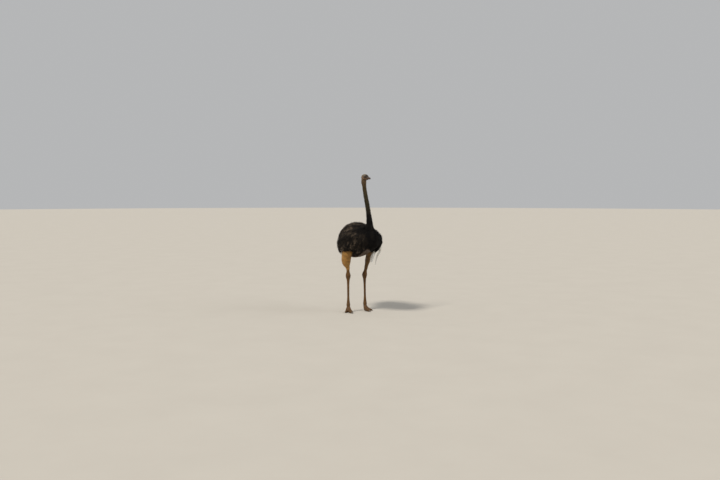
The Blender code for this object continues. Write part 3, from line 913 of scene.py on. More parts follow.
@dataclass
class Face:
    """The lids, brow, ears and corners of the mouth, shaped into the skin of the head."""

    form: Form
    eye_out: float = 0.0242
    eye_rise: float = 0.006
    eye_radius: float = 0.02
    open_along: float = 50.0
    open_above: float = 33.0
    open_below: float = 38.0
    rim: float = 0.0019
    ear: tuple = (-0.05, -0.006)
    ear_size: tuple = (0.0052, 0.0072)
    ear_depth: float = 0.006

    def mask(self, local: Array) -> Array:
        """How far places on the head lie in the painted shade on the front of the face, between the eyes and
        the bill, 0 to 1.
        """
        return smooth(local[:, 1], 0.006, 0.028) * smooth(local[:, 2], -0.02, -0.006)

    def middle(self, side: Side) -> Array:
        """The middle of one eyeball, as across, along and above the head."""
        return np.array([side.value * self.eye_out, 0.0, self.eye_rise])

    def off_ear(self, local: Array) -> Array:
        """How far places on the head lie from the ear's middle, where its edge is at 1."""
        return np.linalg.norm((local[:, 1:] - self.ear) / self.ear_size, axis=1)

    def off_mouth(self, local: Array) -> Array:
        """How far places on the head lie above the line of the mouth."""
        return local[:, 2] + 0.0135 + 0.1 * np.clip(0.03 - local[:, 1], 0.0, 0.05)

    def gaze(self, side: Side) -> Array:
        """The way an eye looks, in head lengths: out, a little ahead and up."""
        return unit(np.array([side.value, 0.16, 0.05]))

    def around_eye(self, local: Array, side: Side) -> tuple:
        """Measures places on the head round an eye.

        Args:
            local: The places.
            side: Which eye.

        Returns:
            The distance from the ball's middle, the degrees from its axis, the degrees that the lids are
            open that way, and the way from the middle.
        """
        offset = local - self.middle(side)
        distance = np.linalg.norm(offset, axis=-1)
        way = unit(offset)
        gaze = self.gaze(side)
        degrees = np.degrees(np.arccos(np.clip(way @ gaze, -1.0, 1.0)))
        along = way[:, 1] - gaze[1] * (way @ gaze)
        above = way[:, 2] - gaze[2] * (way @ gaze) + along * 0.1
        total = np.maximum(np.hypot(along, above), 1e-6)
        high = np.where(above > 0.0, self.open_above, self.open_below)
        power = 1.75
        opened = ((np.abs(along / total) / self.open_along) ** power
                  + (np.abs(above / total) / high) ** power) ** (-1.0 / power)
        return distance, degrees, opened, way

    def shape(self, points: Array) -> Array:
        """Shapes the face.

        Args:
            points: The skin's places.

        Returns:
            The same places, moved where they lie on the head.
        """
        local = self.form.to_head(points)
        near = (np.linalg.norm(local, axis=1) < 0.13) & (local[:, 2] > -0.07)
        part = self.mouth_and_brow(local[near])
        for side in Side:
            part = self.open_ear(part, side)
            part = self.open_eye(part, side)
        moved = points.copy()
        moved[near] = self.form.on_head(part)
        return moved

    def open_eye(self, local: Array, side: Side) -> Array:
        """Lays the lids over one eye.

        Args:
            local: Places as across, along and above the head.
            side: Which eye.

        Returns:
            The moved places.
        """
        distance, degrees, opened, way = self.around_eye(local, side)
        past = degrees - opened
        lid = self.eye_radius + self.rim * smooth(past, -0.5, 3.0) + 0.0004 * smooth(past, 3.0, 9.0)
        lid -= 0.001 * np.exp(-((past - 12.0) / 1.6) ** 2) + 0.0006 * np.exp(-((past - 17.0) / 1.2) ** 2)
        lid = np.where(past < -0.5, self.eye_radius - 0.0022, lid)
        lid -= 0.0022 * smooth(past, 0.8, -0.5) * (past >= -0.5)
        share = smooth(past, 30.0, 13.0) * (distance < 0.05)
        radius = mixed(distance, np.where(past < 13.0, lid, np.maximum(lid, distance)), share)
        return self.middle(side) + way * radius[:, None]

    def open_ear(self, local: Array, side: Side) -> Array:
        """Sinks one ear opening, with a low rim round it.

        Args:
            local: The head's places.
            side: Which side.

        Returns:
            The places, moved.
        """
        apart = self.off_ear(local)
        here = local[:, 0] * side.value > 0.012
        sink = -self.ear_depth * smooth(apart, 1.05, 0.55) + 0.0013 * np.exp(-((apart - 1.35) / 0.25) ** 2)
        moved = local.copy()
        moved[:, 0] += side.value * sink * here
        return moved

    def mouth_and_brow(self, local: Array) -> Array:
        """Cuts the line of the mouth back below the eye and raises the brow and the cheek.

        Args:
            local: The head's places.

        Returns:
            The places, moved.
        """
        x, along, above = local.T
        moved = local.copy()
        off = self.off_mouth(local)
        groove = np.exp(-(off / 0.0011) ** 2) * smooth(along, -0.012, 0.0) * (np.abs(x) > 0.008)
        lips = np.exp(-((np.abs(off) - 0.003) / 0.0012) ** 2) * smooth(along, -0.01, 0.004)
        brow = np.exp(-((along - 0.006) / 0.024) ** 2 - ((above - 0.032) / 0.0055) ** 2)
        cheek = np.exp(-((along + 0.02) / 0.014) ** 2 - ((above + 0.02) / 0.01) ** 2)
        lore = np.exp(-((along - 0.036) / 0.01) ** 2 - ((above - 0.004) / 0.008) ** 2)
        out = 0.0005 * lips + 0.002 * brow * (np.abs(x) > 0.012) + 0.0014 * cheek
        out = out - 0.0016 * groove - 0.0022 * lore
        moved[:, 0] += np.sign(x) * out * smooth(np.abs(x), 0.004, 0.012)
        return moved


@dataclass
class Skin:
    """The bird's skin in one piece, from the crown to the toes."""

    form: Form
    face: Face
    depth: float = 0.036
    voxel: float = 0.0093
    wing_rings: int = 40
    finish: SkinFinish = field(default_factory=SkinFinish)
    single: tuple = ("trunk", "neck_lower", "neck_middle", "neck_upper", "head")
    paired: tuple = ("ear", "wing", "thigh", "drumstick", "hock", "shank", "toe_big", "toe_small")
    finer: tuple = ((-1.0, 0.7), (0.003, 0.115), (2.285, 9.0), (2.285, 9.0))  # legs, toes, head twice

    def trunk(self) -> Array:
        """Shapes the trunk.

        Returns:
            Its rings.
        """
        y, low, high, half, wide = through(self.form.trunk, eased(56)).T
        centres = self.form.place(np.stack([np.zeros_like(y), y, wide], 1))
        return ovals(centres, ACROSS, UP, half, high - wide, wide - low, 96, 2.05, 1.82)

    def wing(self, side: Side) -> Array:
        """Shapes one folded wing.

        Args:
            side: Which side.

        Returns:
            Its rings.
        """
        y, out, level, half, above, bottom = through(self.form.wing[side], eased(self.wing_rings)).T
        centres = np.stack([np.zeros_like(y), y, level], 1)
        rings = ovals(centres, ACROSS, UP, half, above, level - bottom, 48, 2.2, 2.6)
        drop = level[:, None] - rings[..., 2]
        lean = np.abs(drop) ** 1.5 * np.where(drop > 0.0, 0.1, 1.3)
        rings[..., 0] = side.value * ((out - half)[:, None] + rings[..., 0] - lean)
        return self.form.place(rings)

    def neck(self) -> Array:
        """Shapes the neck, thinner than its coat.

        Returns:
            Its rings.
        """
        rows = through(self.form.neck, np.linspace(0.0, 1.0, 90))[:, 1:]
        thin = np.interp(rows[:, 2], (1.25, 1.37, 1.47, 1.575, 1.69, 1.9, 2.18, 2.25, 2.3),
                         (0.05, 0.036, 0.018, 0.006, 0.002, 0.0, 0.0, -0.005, -0.006))
        rows[:, 3:] -= thin[:, None]
        rows[:, :3] = self.form.place(rows[:, :3])
        return along_path(rows, 40)

    def skull(self) -> Array:
        """Shapes the skull.

        Returns:
            Its rings.
        """
        along, low, high, half = through(self.form.skull, np.linspace(0.0, 1.0, 40)).T
        local = np.stack([np.zeros_like(along), along, (low + high) / 2.0], 1)
        _, across, _, above = self.form.head_axes()
        reach = (high - low) / 2.0
        return ovals(self.form.on_head(local), across, above, half, reach, reach, 56, 2.15)

    def thigh(self, side: Side) -> Array:
        """Shapes one upper leg.

        Args:
            side: Which side.

        Returns:
            Its rings.
        """
        station, y, z, x, half, depth = through(self.form.thigh, np.linspace(0.0, 1.0, 26)).T
        places = self.form.place(np.stack([side.value * x, y, z], 1))
        shape = self.form.shaped(side, half, depth, station, self.form.thigh_even)
        return along_path(np.concatenate([places, shape], 1), 40)

    def tail_root(self) -> Array:
        """Shapes the fleshy root of the tail.

        Returns:
            Its rings.
        """
        _, y, z, half, depth = through(self.form.tail, np.linspace(0.0, 0.42, 12)).T
        places = self.form.place(np.stack([np.zeros_like(y), y, z - 0.01], 1))
        slim = np.linspace(0.75, 0.35, 12)[:, None]
        return along_path(np.concatenate([places, half[:, None] * slim, depth[:, None] * slim], 1), 24)

    def remeshed(self) -> Piece:
        """Joins every part into one even skin.

        Returns:
            The skin.
        """
        shell = Shell()
        rings = self.trunk()
        shell.loft(inward(rings, mixed(self.depth, 0.001, self.form.bare(self.form.local(rings)))))
        shell.loft(self.neck())
        shell.loft(self.skull())
        shell.loft(self.tail_root())
        for side in Side:
            rings = self.wing(side)
            half = through(self.form.wing[side], eased(self.wing_rings))[:, 3:4]
            shell.loft(inward(rings, np.minimum(self.depth, 0.55 * half)))
            shell.loft(self.thigh(side))
            shell.loft(along_path(self.form.leg_rows(side, np.linspace(0.0, 1.0, 120)), 40))
            for toe, table in (("big", self.form.big_toe), ("small", self.form.small_toe)):
                rows = self.form.toe_rows(side, toe, table, np.linspace(0.0, 1.0, 40))
                rings = along_path(rows, 36, 2.3)
                rings[..., 2] = np.maximum(rings[..., 2], self.form.shift_all[2])
                shell.loft(rings)
        raw = shell.mesh("skin")
        joined = raw.modifiers.new("one_skin", "REMESH")
        joined.mode = "VOXEL"
        joined.voxel_size = self.voxel
        even = raw.modifiers.new("even", "SMOOTH")
        even.factor = 0.5
        even.iterations = 3
        graph = bpy.context.evaluated_depsgraph_get()
        data = bpy.data.meshes.new_from_object(raw.evaluated_get(graph))
        raw.modifiers.clear()
        old, raw.data = raw.data, data
        bpy.data.meshes.remove(old)
        return raw

    def refine(self, data: Mesh, chosen: Array) -> None:
        """Divides every edge whose ends are both chosen.

        Args:
            data: The mesh.
            chosen: True for each vertex of the finer region.
        """
        mesh = bmesh.new()
        mesh.from_mesh(data)
        edges = [edge for edge in mesh.edges if chosen[edge.verts[0].index] and chosen[edge.verts[1].index]]
        bmesh.ops.subdivide_edges(mesh, edges=edges, cuts=1, use_grid_fill=True, smooth=0.0)
        mesh.to_mesh(data)
        mesh.free()

    def relief(self, points: Array, normals: Array) -> Array:
        """How far the skin's folds, scutes and tendons stand out.

        Args:
            points: The places.
            normals: The way the skin faces at each.

        Returns:
            Heights above the smooth skin.
        """
        z = points[:, 2]
        height = np.zeros(len(points))
        slow = wavy(points, 0.05, 3)
        front = smooth(-normals[:, 1], 0.05, 0.65)
        shank = smooth(z, 0.075, 0.105) * smooth(z, 0.6, 0.55)
        saw = np.mod(z / 0.0175 + 0.1 * slow, 1.0)
        step = smooth(saw, 0.0, 0.16) * (1.0 - 0.65 * saw)
        height += front * shank * (0.0017 * step - 0.0006)
        hock = smooth(z, 0.56, 0.6) * smooth(z, 0.72, 0.66)
        folds = np.sin(z * math.tau / 0.0125 + 1.7 * slow)
        height += hock * 0.001 * folds * (0.4 + 0.6 * smooth(wavy(points, 0.03, 5), -0.4, 0.5))
        height += hock * front * 0.003 * np.exp(-((z - 0.64) / 0.02) ** 2)
        leg = smooth(z, 0.7, 0.76) * smooth(z, 1.06, 1.0)
        height += leg * 0.0022 * wavy(points * (1.0, 1.0, 0.3), 0.034, 8)
        height += leg * 0.0012 * np.abs(wavy(points * (0.6, 0.6, 1.6), 0.022, 9))
        toe = smooth(z, 0.1, 0.07) * smooth(normals[:, 2], 0.15, 0.6)
        ankles = np.stack([self.form.local(self.form.joints(side))[2, :2] for side in Side])
        away = np.linalg.norm(points[:, None, :2] - ankles, axis=2).min(1)
        saw = np.mod(away / 0.0098 + 0.06 * slow, 1.0)
        height += toe * smooth(away, 0.03, 0.05) * 0.0017 * smooth(saw, 0.0, 0.2) * (1.0 - 0.6 * saw)
        pads = smooth(z, 0.055, 0.03) * smooth(np.abs(normals[:, 2]), 0.8, 0.4)
        height += pads * 0.0009 * wavy(points, 0.006, 12)
        neck = smooth(z, 1.62, 1.72) * smooth(z, 2.31, 2.28) * self.form.on_neck(points, 0.06)
        height += neck * 0.0011 * np.sin(z * math.tau / 0.016 + 2.2 * wavy(points, 0.06, 14))
        windpipe = normals @ unit(np.array([0.35, -0.94, 0.0]))
        height += neck * 0.0022 * smooth(windpipe, 0.8, 0.98)
        bare = self.form.bare(points) * smooth(z, 0.92, 0.95)
        height += bare * 0.003 * wavy(points * (1.0, 0.6, 1.4), 0.045, 17)
        return height

    def colours(self, points: Array, normals: Array) -> tuple:
        """The skin's markings, with painted shade on the left thigh, the front of the face and in the ears.

        Args:
            points: The places.
            normals: The way the skin faces at each.

        Returns:
            A colour for each place, and how scaly it is.
        """
        z = points[:, 2]
        slow, fine = wavy(points, 0.11, 21)[:, None], wavy(points, 0.03, 22)[:, None]
        level = z[:, None]
        under = np.array([0.022, 0.019, 0.018]) + np.zeros((len(z), 3))
        belly = (1.0 + 0.16 * slow + 0.08 * fine) * (0.062, 0.036, 0.022)
        thigh = (1.0 + 0.24 * slow + 0.14 * fine) * (0.345, 0.178, 0.044)
        horn = (1.0 + 0.16 * slow + 0.1 * fine) * (0.112, 0.052, 0.011)
        foot = (1.0 + 0.15 * fine) * (0.105, 0.052, 0.016)
        near = smooth(np.hypot((np.abs(points[:, 0]) - 0.2) / 0.12, (points[:, 1] + 0.03) / 0.2), 1.05, 0.85)
        hanging = smooth(z - self.form.hem(points), 0.03, 0.0) * smooth(z, 1.16, 1.12)
        colour = mixed(under, belly, np.maximum(self.form.bare(points), hanging)[:, None])
        # painted shade: the left thigh is darkened to about a third, as if in the body's shadow
        thigh = thigh * mixed(1.0, 0.36, smooth(points[:, 0], 0.0, 0.1))[:, None]
        leg_share = np.maximum(smooth(z, 0.965, 0.935), smooth(z, 1.11, 1.05) * near)[:, None]
        colour = mixed(colour, thigh, leg_share)
        colour = mixed(colour, horn, smooth(level + 0.012 * slow, 0.79, 0.68))
        colour = mixed(colour, horn * (1.0, 1.05, 1.2), smooth(level + 0.02 * slow, 0.58, 0.3))
        colour = mixed(colour, foot, smooth(level + 0.01 * slow, 0.16, 0.075))
        neck = smooth(z, 1.44, 1.56) * self.form.on_neck(points, 0.15)
        tone = graded(z + 0.02 * slow[:, 0], (1.5, 1.66, 1.8, 2.02, 2.2, 2.32), (
            (0.012, 0.013, 0.036, 0.053, 0.085, 0.19), (0.01, 0.01, 0.029, 0.041, 0.054, 0.118),
            (0.009, 0.008, 0.015, 0.018, 0.022, 0.066)))
        colour = mixed(colour, tone * (1.0 + 0.14 * fine), neck[:, None])
        colour = self.head_colours(points, colour, fine)
        scaly = smooth(z, 0.66, 0.6) * (0.35 + 0.65 * smooth(normals[:, 1], -0.4, 0.1))
        return np.clip(colour, 0.0, 1.0), scaly

    def head_colours(self, points: Array, colour: Array, fine: Array) -> Array:
        """Paints the head over the neck's colour: grey-brown crown, warm face, dark lids, and painted shade
        on the front of the face and in the ears.

        Args:
            points: The places.
            colour: The colours so far.
            fine: A fine pattern for each place.

        Returns:
            The colours with the head's.
        """
        local = self.form.to_head(self.form.place(points))
        x, along, above = local.T
        head = smooth(points[:, 2], 2.285, 2.31) * (np.abs(x) < 0.09)
        crown = (1.0 + 0.15 * fine) * (0.215, 0.175, 0.128)
        face = (1.0 + 0.12 * fine) * (0.215, 0.12, 0.066)
        share = smooth(above + 0.25 * along, -0.012, 0.022)[:, None]
        paint_on = mixed(face, crown, share)
        cheek = smooth(along, -0.008, -0.034) * smooth(above, 0.022, 0.004)
        paint_on = mixed(paint_on, (0.3, 0.205, 0.13), 0.8 * cheek[:, None])
        # painted shade over the front of the face, between the eyes and the bill
        paint_on = mixed(paint_on, (0.03, 0.019, 0.014), 0.92 * self.face.mask(local)[:, None])
        for side in Side:
            _, degrees, opened, _ = self.face.around_eye(local, side)
            lid = smooth(degrees - opened, 13.0, 2.0) * (x * side.value > 0.0)
            paint_on = mixed(paint_on, (0.03, 0.022, 0.019), 0.9 * lid[:, None])
            # painted shade: each ear opening is painted dark
            dark = smooth(self.face.off_ear(local), 1.1, 0.6) * (x * side.value > 0.01)
            paint_on = mixed(paint_on, (0.035, 0.02, 0.016), dark[:, None])
        return mixed(colour, paint_on, head[:, None])

    def build(self) -> Piece:
        """Makes the skin, shapes it and paints it.

        Returns:
            The skin.
        """
        skin = self.remeshed()
        data = skin.data
        for low, high in self.finer:
            z = self.form.local(rows_of(data.vertices, "co"))[:, 2]
            self.refine(data, (z > low) & (z < high))
        self.refine(data, self.eye_region(rows_of(data.vertices, "co")))
        points, normals = rows_of(data.vertices, "co"), rows_of(data.vertex_normals, "vector")
        local = self.form.local(points)
        points = self.face.shape(points + normals * self.relief(local, normals)[:, None])
        points[:, 2] = np.maximum(points[:, 2], self.form.shift_all[2])
        data.vertices.foreach_set("co", points.astype(np.float32).ravel())
        data.update()
        data.polygons.foreach_set("use_smooth", np.ones(len(data.polygons), bool))
        colours, scaly = self.colours(local, rows_of(data.vertex_normals, "vector"))
        paint(data, "skin", colours)
        layer = data.attributes.new("scaled", "FLOAT", "POINT")
        layer.data.foreach_set("value", scaly.astype(np.float32))
        paired = [f"{part}_{side.word}" for part in self.paired for side in Side]
        done(skin, "leg_skin", self.finish.material(), *self.single, *paired)
        return skin

    def eye_region(self, points: Array) -> Array:
        """Finds the finest parts of the face.

        Args:
            points: The skin's places.

        Returns:
            True round the eyes, the ears and the corners of the mouth.
        """
        local = self.form.to_head(points)
        eyes = [np.linalg.norm(local - np.array([side.value * 0.04, 0.0, 0.006]), axis=1) < 0.027
                for side in Side]
        mouth = (np.abs(local[:, 2] + 0.015) < 0.006) & (local[:, 1] > -0.012)
        ear = np.hypot(local[:, 1] - self.face.ear[0], local[:, 2] - self.face.ear[1]) < 0.012
        return eyes[0] | eyes[1] | mouth | ear


# ---- feathers

def strand_faces(rings: int) -> Array:
    """The faces of one closed three-sided strand.

    Args:
        rings: How many rings lie between its two end points.

    Returns:
        Rows of three point numbers, facing outwards.
    """
    faces = []
    for k in range(3):
        after = (k + 1) % 3
        faces.append((0, 1 + after, 1 + k))
        for low in range(1, 3 * rings - 2, 3):
            faces += [(low + k, low + after, low + 3 + after), (low + k, low + 3 + after, low + 3 + k)]
        last = 3 * rings - 2
        faces.append((3 * rings + 1, last + k, last + after))
    return np.array(faces)


def strands(lines: Array, faced: Array, wide: Array, thick: Array) -> Array:
    """Closed strands along lines, pointed at both ends.

    Args:
        lines: Each strand's places.
        faced: The way each strand's flat side looks.
        wide: Half its width at each inner place.
        thick: Its height at each inner place.

    Returns:
        Strands, points of each, x y z.
    """
    inner = lines[:, 1:-1]
    ahead = unit(lines[:, 2:] - lines[:, :-2])
    side = unit(np.cross(faced[:, None], ahead))
    over = np.cross(ahead, side) * thick[..., None]
    side = side * wide[..., None]
    rings = np.stack([inner + side, inner + over, inner - side], 2)
    return np.concatenate([lines[:, :1], rings.reshape(len(lines), -1, 3), lines[:, -1:]], 1)


@dataclass
class Tufts:
    """A coat piece's strands, with each strand's tuft, place on the bake map and colour."""

    name: str
    shell: Shell = field(default_factory=Shell)
    places: list = field(default_factory=list)
    tones: list = field(default_factory=list)

    def add(self, lines: Array, faced: Array, wide: Array, thick: Array, root: Array, patch: Array,
            tone: Array) -> None:
        """Adds strands.

        Args:
            lines: Each strand's places.
            faced: The way each strand's flat side looks.
            wide: Half its width at each inner place.
            thick: Its height there.
            root: Its tuft's patch on the bake map.
            patch: Where its places lie in that patch, 0 to 1 each way.
            tone: Its colour at each place.
        """
        count, steps, _ = lines.shape
        points = strands(lines, faced, wide, thick)
        beyond = np.maximum(np.abs(points[..., 0]) - REACH, 0.0)
        points[..., 0] -= np.sign(points[..., 0]) * beyond * 0.65
        each = points.shape[1]
        faces = strand_faces(steps - 2)[None] + each * np.arange(count)[:, None, None]
        self.shell.add(points, faces.reshape(-1, 3))
        order = np.concatenate([[0], np.repeat(np.arange(1, steps - 1), 3), [steps - 1]])
        spread = np.zeros((each, 2))
        spread[1:-1, 1] = np.tile([0.05, 0.0, -0.05], steps - 2)
        spread[1:-1, 0] = np.tile([0.0, 0.03, 0.0], steps - 2)
        inside = np.clip(patch[:, order] + spread, 0.0, 1.0)
        self.places.append((root[:, None] + PATCH * inside).reshape(-1, 2))
        self.tones.append(tone[:, order].reshape(-1, 3))

    def build(self, slot: str, finish: Material, *nodes: str) -> Piece:
        """Makes the piece.

        Args:
            slot: The record's material slot; not used.
            finish: Its material.
            nodes: The solids that it stands for.

        Returns:
            The piece.
        """
        piece = self.shell.mesh(self.name)
        paint(piece.data, "plume", np.clip(np.concatenate(self.tones), 0.0, 1.0))
        put_map(piece.data, np.concatenate(self.places))
        done(piece, slot, finish, *nodes)
        return piece


@dataclass
class Ground:
    """The skin as plumes feel it: where they may root and how they lie along it."""

    form: Form
    skin: Piece

    def __post_init__(self) -> None:
        """Reads the skin's faces."""
        data = self.skin.data
        self.tree = BVHTree.FromPolygons([v.co for v in data.vertices], [p.vertices for p in data.polygons])
        self.area = np.empty(len(data.polygons), np.float32)
        data.polygons.foreach_get("area", self.area)
        self.centre = rows_of(data.polygons, "center")
        self.normal = rows_of(data.polygons, "normal")

    def roots(self, weight: Array, count: int, spacing: float, seed: int) -> Array:
        """Picks faces to root tufts on, spread evenly.

        Args:
            weight: How thickly tufts stand on each face.
            count: How many at most.
            spacing: The least distance between two where the weight is 1.
            seed: Which draw.

        Returns:
            Face numbers.
        """
        draw = np.random.default_rng(seed)
        chance = self.area * weight
        chance = chance / chance.sum()
        tries = min(count * 4, int((chance > 0.0).sum()))
        order = draw.choice(len(chance), tries, replace=False, p=chance)
        kept: list = []
        grid: dict = {}
        for face in order:
            place = self.centre[face]
            reach = spacing / max(weight[face], 0.2) ** 0.5
            cell = tuple(np.floor(place / (2.0 * spacing)).astype(int))
            near = [other for a in (-1, 0, 1) for b in (-1, 0, 1) for c in (-1, 0, 1)
                    for other in grid.get((cell[0] + a, cell[1] + b, cell[2] + c), ())]
            if near and ((self.centre[near] - place) ** 2).sum(1).min() < reach * reach:
                continue
            grid.setdefault(cell, []).append(face)
            kept.append(face)
            if len(kept) == count:
                break
        return np.array(kept)

    def combed(self, start: Array, lie: object, length: Array, height: Array, droop: Array) -> tuple:
        """Lays lines along the skin.

        Args:
            start: Where they root.
            lie: A function from places to the way that feathers lie there.
            length: Each line's length.
            height: How high each of its places stands.
            droop: How far its tip sinks, as a share of its length.

        Returns:
            The lines, and the way the skin faces along each.
        """
        steps = height.shape[1]
        place = start.copy()
        lines, faced = [], []
        for step in range(steps):
            ways = np.empty_like(place)
            for k, point in enumerate(place):
                found, normal, _, _ = self.tree.find_nearest(point)
                place[k] = found
                ways[k] = normal
            if faced:
                ways = unit(0.55 * ways + 0.45 * faced[-1])
            faced.append(ways)
            lines.append(place + ways * height[:, step, None])
            ahead = lie(self.form.local(place))
            ahead = unit(ahead - ways * (ahead * ways).sum(1, keepdims=True))
            place = place + ahead * (length / (steps - 1))[:, None]
        line, face = np.stack(lines, 1), np.stack(faced, 1)
        share = np.linspace(0.0, 1.0, steps) ** 2.5
        line[..., 2] -= share * (droop * length)[:, None]
        return line, face


def feather(tufts: Tufts, lines: Array, faced: Array, width: Array, barbs: int, root: Array, tone: Array,
            draw: Chance, thin: float = 1.0, loose: float = 1.0, tip_tone: float = 1.7,
            shaft: float = 0.0011) -> None:
    """Adds plumes: a shaft each, with loose locks of barbs along both its sides.

    Args:
        tufts: The piece that they go into.
        lines: Each shaft's places.
        faced: The way each plume faces at each place.
        width: The length of its longest barbs.
        barbs: How many locks stand on each side.
        root: Its patch on the bake map.
        tone: Its colour.
        draw: Where chance comes from.
        thin: How wide the locks are.
        loose: How unruly they are.
        tip_tone: How much lighter the tips are.
        shaft: Half the width of each shaft.
    """
    count, steps, _ = lines.shape
    share = np.linspace(0.06, 0.985, barbs)[None, :, None]
    side = np.array([-1.0, 1.0])[None, None, :]
    share = np.clip(share + draw.normal(0.0, 0.25 / barbs, (count, barbs, 2)), 0.02, 0.995)
    spot = share * (steps - 1)
    low = np.clip(spot.astype(int), 0, steps - 2)
    part = (spot - low)[..., None]
    pick = np.arange(count)[:, None, None]
    base = mixed(lines[pick, low], lines[pick, low + 1], part)
    ahead = unit(lines[pick, low + 1] - lines[pick, low])
    face = unit(faced[pick, low])
    across = unit(np.cross(face, ahead)) * side[..., None]
    angle = np.radians(mixed(58.0, 20.0, share) + draw.normal(0.0, 9.0 * loose, share.shape))
    swell = np.sin(math.pi * np.clip(share * 0.95 + 0.05, 0.0, 1.0) ** 0.8)
    reach = width[:, None, None] * (0.45 + 0.55 * swell) * draw.uniform(0.72, 1.22, share.shape)
    lift = draw.normal(0.06, 0.13 * loose, share.shape)[..., None]
    curl = draw.uniform(-0.34, 0.16, share.shape)[..., None] * loose
    out = ahead * np.cos(angle)[..., None] + across * np.sin(angle)[..., None]
    bent = ahead * np.cos(angle * 0.45)[..., None] + across * np.sin(angle * 0.45)[..., None]
    middle = base + (out + face * lift) * reach[..., None] * 0.5
    tip = middle + (bent + face * (lift + curl)) * reach[..., None] * 0.55
    hang = draw.uniform(0.0, 0.12, share.shape) * reach * loose
    tip[..., 2] -= hang
    barb = np.stack([base, middle, tip], 3).reshape(-1, 3, 3)
    total = len(barb)
    wide = np.clip(reach.reshape(-1, 1) * 0.06, 0.0008, 0.0021) * draw.uniform(0.8, 1.3, (total, 1)) * thin
    along = np.stack([share, share + 0.12, share + 0.2], 3).reshape(-1, 3)
    sideways = (0.5 + 0.45 * side[..., None] * np.array([0.05, 0.55, 1.0])).reshape(1, 1, 2, 3)
    sideways = np.broadcast_to(sideways, (count, barbs, 2, 3)).reshape(-1, 3)
    patch = np.clip(np.stack([along * 0.8, sideways], 2), 0.0, 1.0)
    roots = np.repeat(root, barbs * 2, axis=0)
    shade = (draw.uniform(0.72, 1.25, share.shape) * mixed(0.85, 1.15, share)).reshape(-1, 1, 1)
    light = np.array([0.8, 1.0, tip_tone])[None, :, None]
    tones = np.repeat(tone, barbs * 2, axis=0)[:, None] * shade * light
    tufts.add(barb, face.reshape(-1, 3), wide, wide * 0.5, roots, patch, tones)
    thick = np.linspace(1.0, 0.45, steps - 2)[None] * np.full((count, 1), shaft)
    patch = np.stack([np.tile(np.linspace(0.0, 0.8, steps), (count, 1)), np.full((count, steps), 0.5)], 2)
    tones = np.repeat(tone[:, None] * 0.9, steps, axis=1)
    tufts.add(lines, faced[:, steps // 2], thick, np.minimum(thick * 0.8, 0.0012), root, patch, tones)


class Length(Enum):
    """The lengths that the body's coat is made in, with where each ends from front to back."""

    BREAST = -0.33
    SHOULDER = -0.12
    FLANK = 0.09
    RUMP = 9.0


